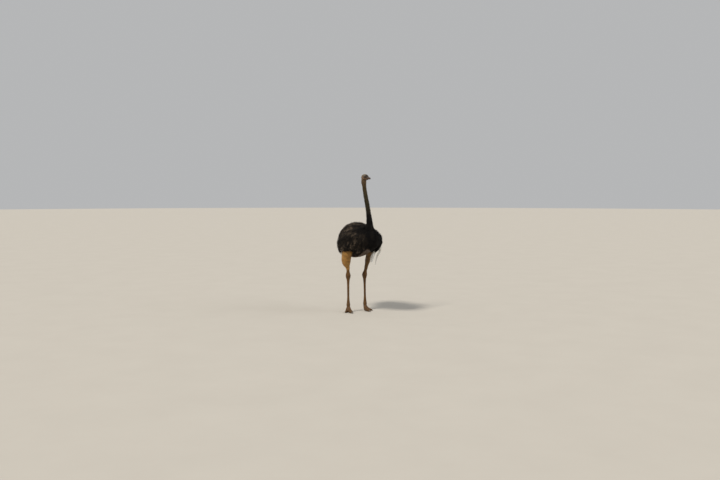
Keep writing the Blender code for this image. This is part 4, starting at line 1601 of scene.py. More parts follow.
@dataclass
class Plumage:
    """The black coat of the trunk and the folded wings."""

    form: Form
    ground: Ground
    finish: PlumeFinish
    count: int = 6000
    spacing: float = 0.0142
    rise: tuple = (0.05, 0.45, 0.8, 0.98, 1.04, 1.03, 0.98)
    barbs: int = 14
    black: tuple = (0.004, 0.0034, 0.0034)
    brown: tuple = (0.3, 0.228, 0.165)

    def lie(self, local: Array) -> Array:
        """Combs the coat down the breast, back and down the sides.

        Args:
            local: The places.

        Returns:
            The way that feathers lie at each.
        """
        x, y, z = local.T
        breast = smooth(y, -0.36, -0.56)
        neck = smooth(z, 1.4, 1.52) * smooth(y, -0.36, -0.42)
        top = smooth(z, 1.42, 1.54) * (1.0 - neck)
        down = mixed(-0.95, -0.28, top)
        way = np.stack([0.22 * np.sign(x) * (1.0 - top) * (1.0 - breast), 0.0 * y + 1.0, down], 1)
        front = np.stack([2.75 * x * smooth(np.abs(x), 0.0, 0.12), 0.3 + 0.0 * y, -1.0 + 0.0 * y], 1)
        way = mixed(way, front, np.maximum(breast, neck)[:, None])
        return unit(way + 0.16 * drift(local, 0.16, 31))

    def weight(self) -> Array:
        """Spreads the coat.

        Returns:
            How thickly plumes root on each face of the skin.
        """
        local = self.form.local(self.ground.centre)
        x, y, z = local.T
        grown = 1.0 - smooth(self.form.bare(local), 0.2, 0.6)
        thigh = np.hypot((np.abs(x) - 0.2) / 0.11, (y + 0.02) / 0.17) < 1.0
        clear = smooth(z - self.form.hem(local), -0.004, 0.012)
        grown = grown * clear * np.where(thigh & (z < 1.09), 0.0, 1.0)
        neck = smooth(z, 1.42, 1.52) * self.form.on_neck(local, 0.11)
        grown = grown * mixed(1.0, 2.2 * smooth(z, 1.78, 1.6), neck)
        crop = np.exp(-(x / 0.07) ** 2 - ((y + 0.575) / 0.05) ** 2 - ((z - 1.425) / 0.05) ** 2)
        return grown * (1.0 + 3.0 * crop)

    def trimmed(self, lines: Array, draw: Chance) -> tuple:
        """Shortens the plumes that would hang below the coat's lower edge.

        Args:
            lines: Shafts.
            draw: Where chance comes from.

        Returns:
            The shafts, and the share that is left of each.
        """
        local = self.form.local(lines)
        count, steps, _ = lines.shape
        edge = self.form.hem(local) + draw.uniform(-0.014, 0.02, (count, 1))
        below = (local[..., 2] < edge) & (np.arange(steps)[None] > 0)
        first = np.where(below.any(1), below.argmax(1), steps) / (steps - 1)
        keep = np.clip(first - draw.uniform(0.02, 0.14, count), 0.2, 1.0)
        spot = np.linspace(0.0, 1.0, steps)[None] * keep[:, None] * (steps - 1)
        low = np.clip(spot.astype(int), 0, steps - 2)
        pick = np.arange(count)[:, None]
        return mixed(lines[pick, low], lines[pick, low + 1], (spot - low)[..., None]), keep

    def build(self) -> list:
        """Makes the coat.

        Returns:
            Its pieces.
        """
        draw = np.random.default_rng(41)
        ground = self.ground
        faces = ground.roots(self.weight(), self.count, self.spacing, 42)
        start = ground.centre[faces]
        local = self.form.local(start)
        x, y, z = local.T
        small = smooth(z, 1.45, 1.58) * smooth(y, -0.34, -0.42)
        length = mixed(draw.uniform(0.115, 0.165, len(faces)), draw.uniform(0.04, 0.06, len(faces)), small)
        length *= 1.0 - 0.25 * smooth(y, -0.4, -0.6)
        width = length * draw.uniform(0.26, 0.36, len(faces))
        depth = mixed(0.03, 0.01, small)
        share = np.linspace(0.0, 1.0, len(self.rise))
        streak = smooth(wavy(local * (1.0, 1.0, 0.22), 0.036, 54), 0.05, 0.8)
        clump = mixed(0.62, 1.06, smooth(wavy(local * (1.0, 1.0, 0.4), 0.06, 53), -0.7, 0.5))
        height = (depth * clump * draw.uniform(0.62, 1.04, len(faces)))[:, None] * self.rise
        lines, faced = ground.combed(start, self.lie, length, height, draw.uniform(0.0, 0.16, len(faces)))
        lines, keep = self.trimmed(lines, draw)
        width = width * keep ** 0.4
        lines[:, 1:] += draw.normal(0.0, 0.0035, lines[:, 1:].shape) * share[1:, None]
        # painted light: a little more brown tint towards the top of the trunk, as where light falls, mixed
        # with a slow random change
        random_tone_and_top_light = smooth(wavy(local, 0.2, 51) + 0.5 * smooth(z, 1.2, 1.5) - 0.2, -0.2, 1.4)
        # painted shade: the left side of the breast and flank, as seen from the front right, loses most of
        # its brown tint; the crop loses it too, as its own darker colour
        painted_shade_left_side = smooth(local @ ACROSS_VIEW, 0.13, 0.22) * smooth(y, 0.25, 0.0)
        crop = smooth(y, -0.33, -0.4) * smooth(z, 1.36, 1.44)
        shade = mixed(1.0, 0.14, np.maximum(painted_shade_left_side, crop))
        tint = 0.03 * random_tone_and_top_light + (0.14 + 1.0 * streak) * draw.beta(0.9, 1.6, len(faces))
        tint = tint * shade
        tone = mixed(self.black, self.brown, np.clip(tint, 0.0, 1.0)[:, None] ** 1.3)
        turn = np.arctan2(np.abs(x), z - 1.27) / math.pi
        pieces = []
        material = self.finish.material()
        for side in Side:
            start_y = -9.0
            for part in Length:
                mine = (x * side.value >= 0.0) & (y >= start_y) & (y < part.value)
                start_y = part.value
                tufts = Tufts(f"coat_{part.name.lower()}_{side.word}")
                span = (y[mine] - y[mine].min()) / np.ptp(y[mine])
                root = on_map(turn[mine], span)
                feather(tufts, lines[mine], faced[mine], width[mine], self.barbs, root, tone[mine], draw)
                pieces.append(tufts.build("black_feather", material))
        return pieces


@dataclass
class WingRows:
    """The long plumes of both wings: black over, white under."""

    form: Form
    black: PlumeFinish
    white: PlumeFinish
    count: int = 15
    steps: int = 8
    barbs: int = 40
    layers: int = 3
    black_tone: tuple = (0.0135, 0.0118, 0.011)
    outer_line: tuple = (
        (0.0, 0.332, -0.2, 1.165), (0.14, 0.356, -0.204, 1.122), (0.3, 0.354, -0.198, 1.066),
        (0.4, 0.338, -0.192, 1.03), (0.52, 0.314, -0.185, 0.99), (0.68, 0.298, -0.18, 0.937),
        (0.86, 0.284, -0.175, 0.875), (1.0, 0.277, -0.17, 0.818),
    )
    inner_line: tuple = (
        (0.0, 0.268, -0.19, 1.085), (0.2, 0.241, -0.198, 1.035), (0.38, 0.222, -0.203, 0.998),
        (0.55, 0.205, -0.207, 0.962), (0.7, 0.192, -0.21, 0.93), (0.84, 0.187, -0.21, 0.9),
        (1.0, 0.187, -0.208, 0.862),
    )

    def white_row(self, side: Side, draw: Chance) -> tuple:
        """Lays the white plumes under one wing.

        Args:
            side: Which side.
            draw: Where chance comes from.

        Returns:
            Their shafts, and how wide each is.
        """
        (first, last), (out_first, out_last), top, (tip_first, tip_last) = self.form.white_rows[side]
        count = self.count * self.layers
        layer = np.arange(count) % self.layers
        share = (np.arange(count) + draw.uniform(-1.0, 1.0, count)) / (count - 1)
        share = np.clip(share, 0.0, 1.0)
        down = np.linspace(0.0, 1.0, self.steps)[None]
        y = (first + (last - first) * share)[:, None] - 0.04 + 0.055 * down
        tip = mixed(tip_first, tip_last, share) + draw.uniform(-0.004, 0.022, count) + 0.022 * layer
        z = mixed(top + 0.045, tip[:, None], down ** 1.1)
        out = mixed(out_first, out_last, share)[:, None] - 0.016 + 0.018 * np.sin(math.pi * down)
        out = out - 0.18 * np.maximum(top - z, 0.0) + 0.007 * layer[:, None]
        out = out + draw.uniform(-0.004, 0.004, (count, 1))
        lines = np.stack([side.value * out, y, z], 2)
        return self.form.place(lines), draw.uniform(0.036, 0.05, count)

    def hanging(self, table: tuple, count: int, spread: tuple, draw: Chance) -> Array:
        """Shafts of a few white plumes that hang free before the left leg.

        Args:
            table: The line they follow, as rows of the share of its length, x, y, z.
            count: How many.
            spread: How far they stand apart at the start, the middle and the end.
            draw: Where chance comes from.

        Returns:
            The shafts.
        """
        length = draw.uniform(0.72, 1.0, count)
        length[0] = 1.0
        share = np.linspace(0.0, 1.0, self.steps)[None] * length[:, None]
        lines = through(table, share.ravel())[:, 1:].reshape(count, self.steps, 3)
        apart = np.interp(share, (0.0, 0.55, 1.0), spread) * np.linspace(-1.0, 1.0, count)[:, None]
        lines += apart[..., None] * ACROSS_VIEW
        lines[..., 1] += draw.uniform(-0.01, 0.01, (count, 1))
        return self.form.place(lines)

    def black_row(self, side: Side, draw: Chance) -> tuple:
        """Lays the black plumes over them.

        Args:
            side: Which side.
            draw: Where chance comes from.

        Returns:
            Their shafts, and how wide each is.
        """
        count = self.count + 10
        share = (np.arange(count) + draw.uniform(-0.3, 0.3, count)) / (count - 1)
        share = np.clip(0.1 + 0.88 * share, 0.0, 1.0)
        y, out, level, half, _, bottom = through(self.form.wing[side], share).T
        down = np.linspace(0.0, 1.0, self.steps)[None]
        start = level - 0.035
        z = mixed(start[:, None], (bottom + draw.uniform(-0.012, 0.03, count))[:, None], down)
        drop = level[:, None] - z
        flat = np.abs(drop / (level - bottom)[:, None]).clip(0.0, 0.97) ** 2.2
        outer = (out - half)[:, None] + half[:, None] * (1.0 - flat) ** (1.0 / 2.2)
        outer = outer - 0.1 * drop ** 1.5 - 0.02 - 0.006 * (1.0 - down)
        along = (y[:, None] - 0.05 + 0.1 * down).clip(None, 0.44)
        lines = np.stack([side.value * outer, along, z], 2)
        return self.form.place(lines), draw.uniform(0.036, 0.048, count)

    def row(self, side: Side, white: bool, draw: Chance) -> Piece:
        """Makes one row of long plumes.

        Args:
            side: Which wing.
            white: True for the white row.
            draw: Where chance comes from.

        Returns:
            The piece.
        """
        lines, width = (self.white_row if white else self.black_row)(side, draw)
        if white and side is Side.LEFT:
            outer = self.hanging(self.outer_line, 9, (0.008, 0.007, 0.004), draw)
            inner = self.hanging(self.inner_line, 12, (0.005, 0.02, 0.012), draw)
            lines = np.concatenate([lines, outer, inner])
            width = np.concatenate([width, np.full(len(outer), 0.026), np.full(len(inner), 0.026)])
        ahead = (-0.3, -0.9, 0.3) if white and side is Side.LEFT else (side.value, 0.25, 0.15)
        faced = np.broadcast_to(unit(np.array(ahead)), lines.shape)
        count = len(lines)
        tone = draw.uniform(0.86, 1.08, (count, 1)) * ((1.12, 1.05, 0.95) if white else self.black_tone)
        root = np.stack([np.linspace(0.04, 0.94, count), 0.1 + 0.8 * draw.uniform(0, 1, count)], 1)
        tufts = Tufts(f"{'white' if white else 'black'}_plumes_{side.word}")
        if white:
            feather(tufts, lines, faced, width, self.barbs + 24, root, tone, draw, 2.3, 0.7, 1.0, 0.0045)
            return tufts.build("white_feather", self.white.material(), f"wing_plumes_{side.word}")
        feather(tufts, lines, faced, width, self.barbs, root, tone, draw, 1.25, 0.7, 1.6)
        return tufts.build("black_feather", self.black.material())

    def build(self) -> list:
        """Makes every row. Returns the pieces."""
        draw = np.random.default_rng(61)
        return [self.row(side, white, draw) for side in Side for white in (True, False)]


@dataclass
class Tail:
    """The drooping bunch of pale tail plumes."""

    form: Form
    finish: PlumeFinish
    count: int = 64
    steps: int = 9
    barbs: int = 26

    def build(self) -> Piece:
        """Makes the tail.

        Returns:
            The piece.
        """
        draw = np.random.default_rng(71)
        golden = math.pi * (3.0 - math.sqrt(5.0))
        ring = np.sqrt((np.arange(self.count) + 0.5) / self.count)
        turn = golden * np.arange(self.count)
        reach = draw.uniform(0.8, 1.0, self.count)
        share = np.linspace(0.02, 1.0, self.steps)[None] * reach[:, None]
        rows = through(self.form.tail, share.ravel())[:, 1:].reshape(self.count, self.steps, 4)
        y, z, half, depth = np.moveaxis(rows, 2, 0)
        before = through(self.form.tail, np.clip(share.ravel() - 0.02, 0.0, 1.0))[:, 1:3]
        ahead = unit(rows[..., :2] - before.reshape(self.count, self.steps, 2) + 1e-9)
        beside, over = ring * np.cos(turn), ring * np.sin(turn)
        x = beside[:, None] * np.clip(half, 0.05, 0.105) * 0.82
        rise = over[:, None] * np.maximum(depth, 0.04) * 0.82
        lines = self.form.place(np.stack([x, y - rise * ahead[..., 1], z + rise * ahead[..., 0]], 2))
        sign = np.sign(rise + 1e-6)
        faced = unit(np.stack([x * 4.0, -ahead[..., 1] * sign, ahead[..., 0] * sign], 2))
        width = draw.uniform(0.03, 0.042, self.count)
        tone = mixed((0.62, 0.55, 0.46), (0.4, 0.3, 0.205), draw.uniform(0.0, 1.0, (self.count, 1)))
        root = np.stack([0.5 + 0.44 * beside, 0.5 + 0.44 * over], 1)
        tufts = Tufts("tail_plumes")
        feather(tufts, lines, faced, width, self.barbs, root, tone, draw, 1.0, 1.0, 1.05)
        return tufts.build("buff_feather", self.finish.material(), "tail")


@dataclass
class Down:
    """The short down of the neck and the bristles of the head."""

    form: Form
    ground: Ground
    face: Face
    finish: PlumeFinish
    neck_count: int = 22000
    head_count: int = 12500

    def lie(self, local: Array) -> Array:
        """Combs the down along the neck, and back over the head.

        Args:
            local: The places.

        Returns:
            The way that down lies at each.
        """
        ahead = self.form.head_axes()[2]
        way = np.zeros_like(local)
        way[:, 2] = -1.0
        head = smooth(local[:, 2], 2.29, 2.33)[:, None]
        way = mixed(way, -ahead * 0.8 - UP * 0.45, head)
        return unit(way + 0.22 * drift(local, 0.03, 81))

    def hairs(self, faces: Array, length: Array, stand: Array, wide: float, tone: Array,
              draw: Chance, tufts: Tufts, root: Array) -> None:
        """Adds one short strand on each chosen face of the skin.

        Args:
            faces: The faces.
            length: Each strand's length.
            stand: How far it stands off, as a share of its length.
            wide: Half its width.
            tone: Its colour.
            draw: Where chance comes from.
            tufts: The piece that it goes into.
            root: Its patch on the bake map.
        """
        count = len(faces)
        spread = np.sqrt(self.ground.area[faces])[:, None] * 0.5
        normal = self.ground.normal[faces]
        shift = draw.uniform(-1.0, 1.0, (count, 3)) * spread
        start = self.ground.centre[faces] + shift - normal * (shift * normal).sum(1, keepdims=True)
        way = self.lie(self.form.local(start)) + draw.normal(0.0, 0.16, (count, 3))
        way = unit(way - normal * (way * normal).sum(1, keepdims=True))
        reach = length[:, None]
        base = start - normal * 0.0006
        middle = start + way * reach * 0.5 + normal * reach * stand[:, None]
        tip = start + way * reach + normal * reach * stand[:, None] * draw.uniform(0.4, 1.5, (count, 1))
        lines = np.stack([base, middle, tip], 1)
        half = wide * draw.uniform(0.7, 1.3, (count, 1))
        patch = np.stack([np.tile([0.1, 0.5, 0.9], (count, 1)), np.full((count, 3), 0.5)], 2)
        tones = tone[:, None] * np.array([0.75, 1.0, 1.25])[:, None]
        tufts.add(lines, normal, half, half * 0.6, root, patch, tones)

    def neck(self) -> Piece:
        """Makes the down of the neck.

        Returns:
            The piece.
        """
        draw = np.random.default_rng(91)
        local = self.form.local(self.ground.centre)
        z = local[:, 2]
        weight = smooth(z, 1.5, 1.6) * smooth(z, 2.335, 2.3) * self.form.on_neck(local, 0.11)
        chance = self.ground.area * weight
        faces = draw.choice(len(weight), self.neck_count, p=chance / chance.sum())
        z = z[faces]
        tone = graded(z, (1.55, 1.7, 1.84, 2.02, 2.18, 2.32), ((0.009, 0.011, 0.038, 0.056, 0.09, 0.195),
                                                               (0.008, 0.009, 0.031, 0.044, 0.058, 0.13),
                                                               (0.008, 0.008, 0.016, 0.02, 0.024, 0.078)))
        tone = tone * draw.uniform(0.6, 1.5, (len(faces), 1))
        length = np.interp(z, (1.55, 1.75, 2.32), (0.03, 0.021, 0.012)) * draw.uniform(0.7, 1.3, len(faces))
        stand = draw.uniform(0.1, 0.42, len(faces))
        turn = np.arctan2(*self.form.off_neck(local[faces]).T) / math.tau + 0.5
        root = on_map(turn, (z - 1.5) / 0.84)
        tufts = Tufts("neck_down")
        self.hairs(faces, length, stand, 0.00055, tone, draw, tufts, root)
        return tufts.build("neck_skin", self.finish.material())

    def head(self) -> Piece:
        """Makes the bristles of the head.

        Returns:
            The piece.
        """
        draw = np.random.default_rng(92)
        local = self.form.to_head(self.ground.centre)
        x, along, above = local.T
        weight = (np.linalg.norm(local, axis=1) < 0.12) * smooth(above, -0.06, -0.04)
        weight = weight * smooth(along, 0.051, 0.041)
        for side in Side:
            _, degrees, opened, _ = self.face.around_eye(local, side)
            close = smooth(degrees - opened, 13.0, 20.0)
            weight = weight * np.where((x * side.value > 0.0) & (np.abs(along) < 0.035), close, 1.0)
        lips = smooth(np.abs(self.face.off_mouth(local)), 0.002, 0.005)
        weight = weight * np.where(along > -0.012, lips, 1.0)
        chance = self.ground.area * weight
        faces = draw.choice(len(weight), self.head_count, p=chance / chance.sum())
        local, count = local[faces], len(faces)
        x, along, above = local.T
        low = mixed((0.19, 0.105, 0.058), (0.29, 0.198, 0.125), smooth(along, -0.008, -0.034)[:, None])
        tone = mixed(low, (0.225, 0.183, 0.134), smooth(above + 0.25 * along, -0.012, 0.024)[:, None])
        # painted shade: the bristles on the front of the face are darkened with the skin
        tone = tone * draw.uniform(0.55, 1.6, (count, 1)) * mixed(1.0, 0.18, self.face.mask(local))[:, None]
        crown = smooth(above, 0.02, 0.045)
        length = mixed(0.0065, 0.0085, crown) * draw.uniform(0.7, 1.35, count)
        length = length * (1.0 - 0.55 * smooth(along, 0.0, 0.03))
        stand = mixed(0.14, 0.24, crown) * draw.uniform(0.5, 1.4, count)
        turn = np.arctan2(x, above) / math.tau + 0.5
        root = on_map(turn, (along + 0.09) / 0.14)
        tufts = Tufts("head_bristles")
        self.hairs(faces, length, stand, 0.00032, tone, draw, tufts, np.clip(root, 0.0, 0.99))
        return tufts.build("head_skin", self.finish.material())

    def lashes(self) -> Piece:
        """Makes the lashes of both eyes and the bristles over the ears.

        Returns:
            The piece.
        """
        draw = np.random.default_rng(93)
        lines, roots = [], []
        for side in Side:
            middle = self.face.middle(side)
            gaze = self.face.gaze(side)
            forward = unit(np.array([0.0, 1.0, 0.0]) - gaze * gaze[1])
            upward = unit(np.cross(gaze, forward) * side.value)
            upward = upward * np.sign(upward[2])
            for count, sign, reach in ((46, 1.0, 0.0155), (18, -1.0, 0.007)):
                for k in range(count):
                    spin = math.radians(18.0 + 144.0 * (k + draw.uniform(-0.3, 0.3)) / (count - 1))
                    radial = forward * math.cos(spin) + upward * math.sin(spin) * sign
                    _, _, opened, _ = self.face.around_eye((middle + gaze + radial)[None], side)
                    tilt = math.radians(float(opened[0]) + 2.2)
                    out = gaze * math.cos(tilt) + radial * math.sin(tilt)
                    base = middle + out * (self.face.eye_radius + 0.0008)
                    long = reach * draw.uniform(0.8, 1.15)
                    bend = base + (gaze * 0.85 + radial * 0.35 + forward * 0.1) * long * 0.5
                    end = bend + (gaze * 0.45 + radial * 0.75 + forward * 0.12) * long * 0.5
                    lines.append(np.stack([base, (base + bend) / 2.0 + gaze * 0.0004, bend, end]))
                    roots.append((0.1 + 0.8 * k / count, 0.2 + 0.3 * (side.value + 1.0)))
            for _ in range(46):
                spin = draw.uniform(0.0, math.tau)
                place = np.array([side.value * 0.0355, self.face.ear[0] + 0.0065 * math.cos(spin),
                                  self.face.ear[1] + 0.009 * math.sin(spin)])
                way = unit(np.array([side.value * 0.45, -0.9, -0.25]) + draw.normal(0.0, 0.15, 3))
                long = draw.uniform(0.007, 0.012)
                lines.append(np.stack([place - way * 0.003, place, place + way * long * 0.5,
                                       place + way * long - np.array([0.0, 0.0, 0.0012])]))
                roots.append((0.1 + 0.8 * spin / 7.0, 0.9))
        lines = self.form.on_head(np.array(lines))
        count = len(lines)
        faced = unit(lines[:, 0] - self.form.head_axes()[0])
        half = np.tile([0.00024, 0.00018], (count, 1))
        patch = np.stack([np.tile([0.1, 0.4, 0.7, 0.9], (count, 1)), np.full((count, 4), 0.5)], 2)
        tone = np.zeros((count, 4, 3)) + np.array([0.01, 0.008, 0.007])
        tufts = Tufts("lashes")
        tufts.add(lines, faced, half, half, np.array(roots), patch, tone)
        return tufts.build("head_skin", HairFinish("lash", (0.014, 0.011, 0.01)).material())


# ---- eyes, bill and claws

@dataclass
class Eyes:
    """Both eyeballs, with a clear bulge over iris and pupil."""

    form: Form
    face: Face
    finish: EyeFinish = field(default_factory=EyeFinish)
    bulge: float = 0.0012
    rows: int = 48
    count: int = 64

    def ball(self, side: Side) -> Piece:
        """Makes one eyeball.

        Args:
            side: Which side.

        Returns:
            The piece.
        """
        gaze = self.face.gaze(side)
        degrees = np.linspace(0.6, 179.4, self.rows)
        angle = np.radians(degrees)
        radius = self.face.eye_radius + self.bulge * smooth(degrees, 40.0, 8.0) - 0.0004
        across = unit(np.cross(UP, gaze))
        above = np.cross(gaze, across)
        turn = math.tau * np.arange(self.count) / self.count
        ring = across * np.cos(turn)[:, None] + above * np.sin(turn)[:, None]
        local = (self.face.middle(side) + gaze * (radius * np.cos(angle))[:, None, None]
                 + ring[None] * (radius * np.sin(angle))[:, None, None])
        piece = lofted(f"eyeball_{side.word}", self.form.on_head(local))
        every = np.concatenate([np.repeat(degrees, self.count), [0.0, 180.0]])
        spin = np.concatenate([np.tile(turn, self.rows), [0.0, 0.0]])
        iris = np.array([0.042, 0.016, 0.006])
        streak = 1.0 + 0.22 * np.sin(spin * 23.0) * np.sin(spin * 9.0 + 1.0)
        colour = mixed(iris * 0.55, iris, smooth(every, 16.0, 30.0)[:, None]) * streak[:, None]
        colour = mixed(colour, (0.0015, 0.0012, 0.0012), smooth(every, 15.5, 14.0)[:, None])
        colour = mixed(colour, (0.008, 0.006, 0.006), smooth(every, 33.0, 37.0)[:, None])
        colour = mixed(colour, (0.03, 0.02, 0.018), smooth(every, 44.0, 52.0)[:, None])
        paint(piece.data, "iris", colour)
        done(piece, "eye", self.finish.material(), f"eye_{side.word}")
        return piece

    def build(self) -> list:
        """Makes both eyes. Returns them."""
        return [self.ball(side) for side in Side]


@dataclass
class Bill:
    """The flat horny bill: nostrils, a ridge along the top and a nail at each tip."""

    form: Form
    finish: HornFinish
    rows: int = 70
    count: int = 72
    upper: tuple = (
        (0.034, -0.013, 0.018, 0.027), (0.056, -0.0142, 0.015, 0.0235), (0.078, -0.0152, 0.009, 0.0195),
        (0.096, -0.0162, 0.003, 0.015), (0.105, -0.0172, -0.002, 0.0095),
        (0.109, -0.0172, -0.009, 0.003),
    )
    lower: tuple = (
        (0.022, -0.03, -0.013, 0.027), (0.056, -0.0285, -0.014, 0.0222), (0.08, -0.027, -0.015, 0.0182),
        (0.097, -0.0245, -0.016, 0.0132), (0.1055, -0.0215, -0.017, 0.005),
    )

    def half(self, name: str, node: str, table: tuple, top: bool) -> Piece:
        """Makes one half of the bill.

        Args:
            name: The piece's name.
            node: The solid that it stands for.
            table: Its measures.
            top: True for the upper half.

        Returns:
            The piece.
        """
        share = 1.0 - (1.0 - np.linspace(0.0, 1.0, self.rows)) ** 1.35
        along, low, high, half = through(table, share).T
        reach = (high - low) / 2.0
        centres = np.stack([np.zeros_like(along), along, (low + high) / 2.0], 1)
        rings = ovals(centres, ACROSS, UP, half, reach, reach, self.count, 7.0 if top else 2.3,
                      2.2 if top else 7.0)
        x, y, z = np.moveaxis(rings, 2, 0)
        width = np.maximum(half[:, None], 1e-4)
        over = (z - centres[:, None, 2]) / np.maximum(reach[:, None], 1e-4)
        dark = np.zeros_like(x)
        if top:
            ridge = np.exp(-(x / 0.0045) ** 2) * smooth(over, 0.4, 0.9) * smooth(y, 0.108, 0.098)
            nail = smooth(y, 0.0905, 0.0935) * smooth(over, -0.2, 0.3)
            groove = np.exp(-((y - 0.09 - 6.0 * x * x) / 0.0011) ** 2) * smooth(over, -0.2, 0.3)
            beside = np.exp(-((np.abs(x) - 0.0085 + 0.05 * (y - 0.06)) / 0.0022) ** 2)
            beside = beside * smooth(y, 0.092, 0.084) * (over > 0.2)
            slot_y, slot_x = (y - 0.0665) / 0.0085, (np.abs(x) - 0.0105) / 0.0024
            nostril = smooth(np.hypot(slot_y, slot_x), 1.15, 0.55) * (over > 0.1)
            z += 0.0011 * ridge + 0.0006 * nail - 0.0007 * groove - 0.0008 * beside
            z -= 0.0032 * nostril
            # painted shade in the nostril and along the groove; the nail is darker horn
            dark = 0.9 * nostril + 0.35 * groove + 0.25 * nail
        else:
            fork = np.exp(-((np.abs(x) - 0.45 * width) / 0.0018) ** 2) * smooth(over, -0.3, -0.8)
            groove = np.exp(-((y - 0.086) / 0.001) ** 2) * smooth(over, 0.2, -0.4)
            z += 0.0007 * fork + 0.0006 * groove
            # painted shade along the groove; the fork's lines and the nail are darker horn
            dark = 0.3 * fork + 0.3 * groove + 0.2 * smooth(y, 0.086, 0.089)
        # painted shade along the side edge of each half, where the halves meet
        lip = smooth(np.abs(over), 0.45, 0.1) * smooth(np.abs(x) / width, 0.8, 0.97)
        dark = np.clip(dark + 0.22 * lip, 0.0, 1.0)
        piece = lofted(name, self.form.on_head(np.stack([x, y, z], 2)))
        shade = np.concatenate([dark.ravel(), [0.5, 0.3]])
        paint(piece.data, "shade", shade[:, None])
        done(piece, "bill_horn", self.finish.material(), node)
        return piece

    def build(self) -> list:
        """Makes both halves. Returns them."""
        return [self.half("horn_upper", "bill_upper", self.upper, True),
                self.half("horn_lower", "bill_lower", self.lower, False)]


@dataclass
class Claws:
    """The four claws, ridged along the top and worn at the tips."""

    form: Form
    finish: HornFinish
    rows: int = 36
    count: int = 32

    def claw(self, side: Side, toe: str, table: tuple) -> Piece:
        """Makes one claw.

        Args:
            side: Which foot.
            toe: "big" or "small".
            table: Its measures.

        Returns:
            The piece.
        """
        share = 1.0 - (1.0 - np.linspace(0.0, 1.0, self.rows)) ** 1.3
        rows = self.form.toe_rows(side, toe, table, share)
        rings = along_path(rows, self.count, 2.2)
        middle = rings.mean(1, keepdims=True)
        over = (rings[..., 2] - middle[..., 2]) / np.maximum(rows[:, None, 4], 1e-4)
        growth = np.sin(share[:, None] * 46.0) * 0.00022 * smooth(over, -0.2, 0.4)
        rings = rings + unit(rings - middle + 1e-9) * growth[..., None]
        rings[..., 2] += 0.0007 * smooth(over, 0.75, 1.0) * (1.0 - share[:, None])
        rings[..., 2] = np.maximum(rings[..., 2], self.form.shift_all[2])
        piece = lofted(f"nail_{toe}_{side.word}", rings)
        shade = np.repeat(0.55 * (1.0 - share), self.count)
        shade = np.concatenate([shade, [0.6, 0.0]])
        paint(piece.data, "shade", shade[:, None])
        done(piece, "claw_horn", self.finish.material(), f"claw_{toe}_{side.word}")
        return piece

    def build(self) -> list:
        """Makes every claw. Returns them."""
        return [self.claw(side, toe, table) for side in Side
                for toe, table in (("big", self.form.claw_big), ("small", self.form.claw_small))]


# ---- the studio

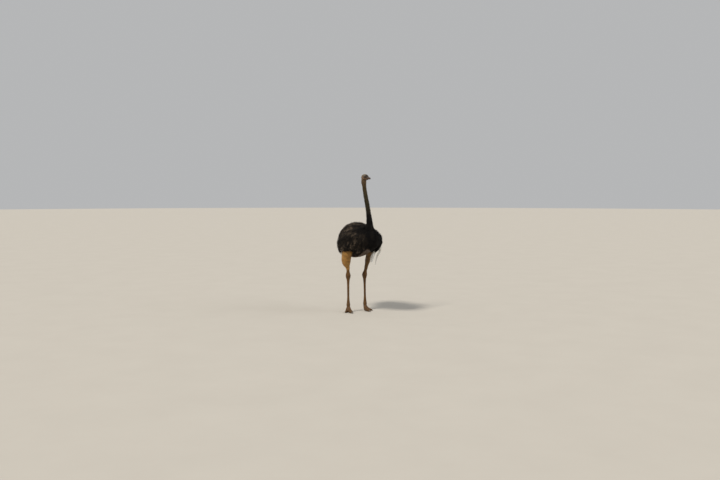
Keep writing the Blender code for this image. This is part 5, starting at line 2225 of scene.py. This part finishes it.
@dataclass
class Studio:
    """A pale floor, soft light from the bird's front right, and the camera."""

    form: Form
    lens: float = 38.6
    away: float = 13.45
    height: float = 2.087
    azimuth: float = -25.0
    pitch: float = 3.558
    yaw: float = 0.245
    floor_size: float = 90.0
    key: tuple = (2.75, 12.0, -70.0, 50.0)
    fill: tuple = (1.0, 40.0, 50.0, 30.0)

    def feet(self) -> Array:
        """The place on the floor midway between the ankles."""
        ankles = np.stack([self.form.joints(side)[2] for side in Side]).mean(0)
        return np.array([ankles[0], ankles[1], self.form.shift_all[2]])

    def camera(self) -> None:
        """Sets the camera where the bird is seen from its front right, at a standing person's height."""
        turn = math.radians(self.azimuth)
        towards = np.array([math.sin(turn), -math.cos(turn), 0.0])
        place = self.feet() + towards * self.away + UP * self.height
        data = bpy.data.cameras.new("camera")
        data.lens = self.lens
        data.sensor_width = 36.0
        data.clip_end = 300.0
        view = put("camera", data)
        view.location = Vector(place)
        view.rotation_euler = (math.radians(90.0 - self.pitch), 0.0, turn - math.radians(self.yaw))
        bpy.context.scene.camera = view

    def floor(self) -> None:
        """Lays the floor."""
        mesh = bmesh.new()
        bmesh.ops.create_circle(mesh, cap_ends=True, radius=self.floor_size, segments=96)
        data = bpy.data.meshes.new("floor")
        mesh.to_mesh(data)
        mesh.free()
        nodes = Nodes("pale_floor")
        tone = nodes.stretch(nodes.noise(1.4, 3.0), (0.3, 0.7), (0.0, 0.25))
        nodes.set(Base_Color=nodes.tinted((0.49, 0.46, 0.41), (0.43, 0.4, 0.355), tone), Roughness=0.9,
                  Specular_IOR_Level=0.2)
        data.materials.append(nodes.material)
        ground = put("floor", data)
        ground.location = (0.0, 0.0, self.form.shift_all[2])

    def lamp(self, name: str, measures: tuple, colour: tuple) -> None:
        """Hangs one large soft lamp, far away.

        Args:
            name: Its name.
            measures: Its strength, then in degrees how wide it looks, how far round from the bird's front
                it hangs, and how high.
            colour: Its colour.
        """
        power, softness, azimuth, height = measures
        data = bpy.data.lights.new(name, "SUN")
        data.energy = power
        data.angle = math.radians(softness)
        data.color = colour
        turn, rise = math.radians(azimuth), math.radians(height)
        towards = Vector((math.sin(turn) * math.cos(rise), -math.cos(turn) * math.cos(rise), math.sin(rise)))
        put(name, data).rotation_euler = towards.to_track_quat("Z", "Y").to_euler()

    def build(self) -> None:
        """Makes the studio."""
        self.camera()
        self.floor()
        self.lamp("key", self.key, (1.0, 0.945, 0.86))
        self.lamp("fill", self.fill, (0.95, 0.97, 1.0))
        world = bpy.data.worlds.new("studio")
        world.use_nodes = True
        back = world.node_tree.nodes["Background"]
        back.inputs["Color"].default_value = (0.86, 0.87, 0.88, 1.0)
        back.inputs["Strength"].default_value = 0.54
        bpy.context.scene.world = world
        bpy.context.scene.view_settings.view_transform = "Standard"


def main() -> None:
    """Builds the bird from the skin outwards, then the studio."""
    logging.basicConfig(level=logging.INFO, format="%(message)s")
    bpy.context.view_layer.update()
    form = Form()
    face = Face(form)
    skin = Skin(form, face).build()
    ground = Ground(form, skin)
    Eyes(form, face).build()
    Bill(form, HornFinish("bill_horn", (0.06, 0.031, 0.019), (0.024, 0.014, 0.01), 0.5)).build()
    Claws(form, HornFinish("claw_horn", (0.16, 0.12, 0.09), (0.035, 0.026, 0.022), 0.4)).build()
    black = PlumeFinish("black_plume", 0.66, 0.015, (0.8, 0.66, 0.55))
    white = PlumeFinish("white_plume", 0.72, 0.1, (1.0, 1.0, 1.0), 0.08)
    buff = PlumeFinish("buff_plume", 0.75, 0.1, (1.0, 0.95, 0.9), 0.15)
    down = PlumeFinish("neck_down", 0.72, 0.06, (1.0, 0.95, 0.9), 0.25)
    Plumage(form, ground, black).build()
    WingRows(form, black, white).build()
    Tail(form, buff).build()
    coat = Down(form, ground, face, down)
    coat.neck()
    coat.head()
    coat.lashes()
    Studio(form).build()


if __name__ == "__main__":
    main()
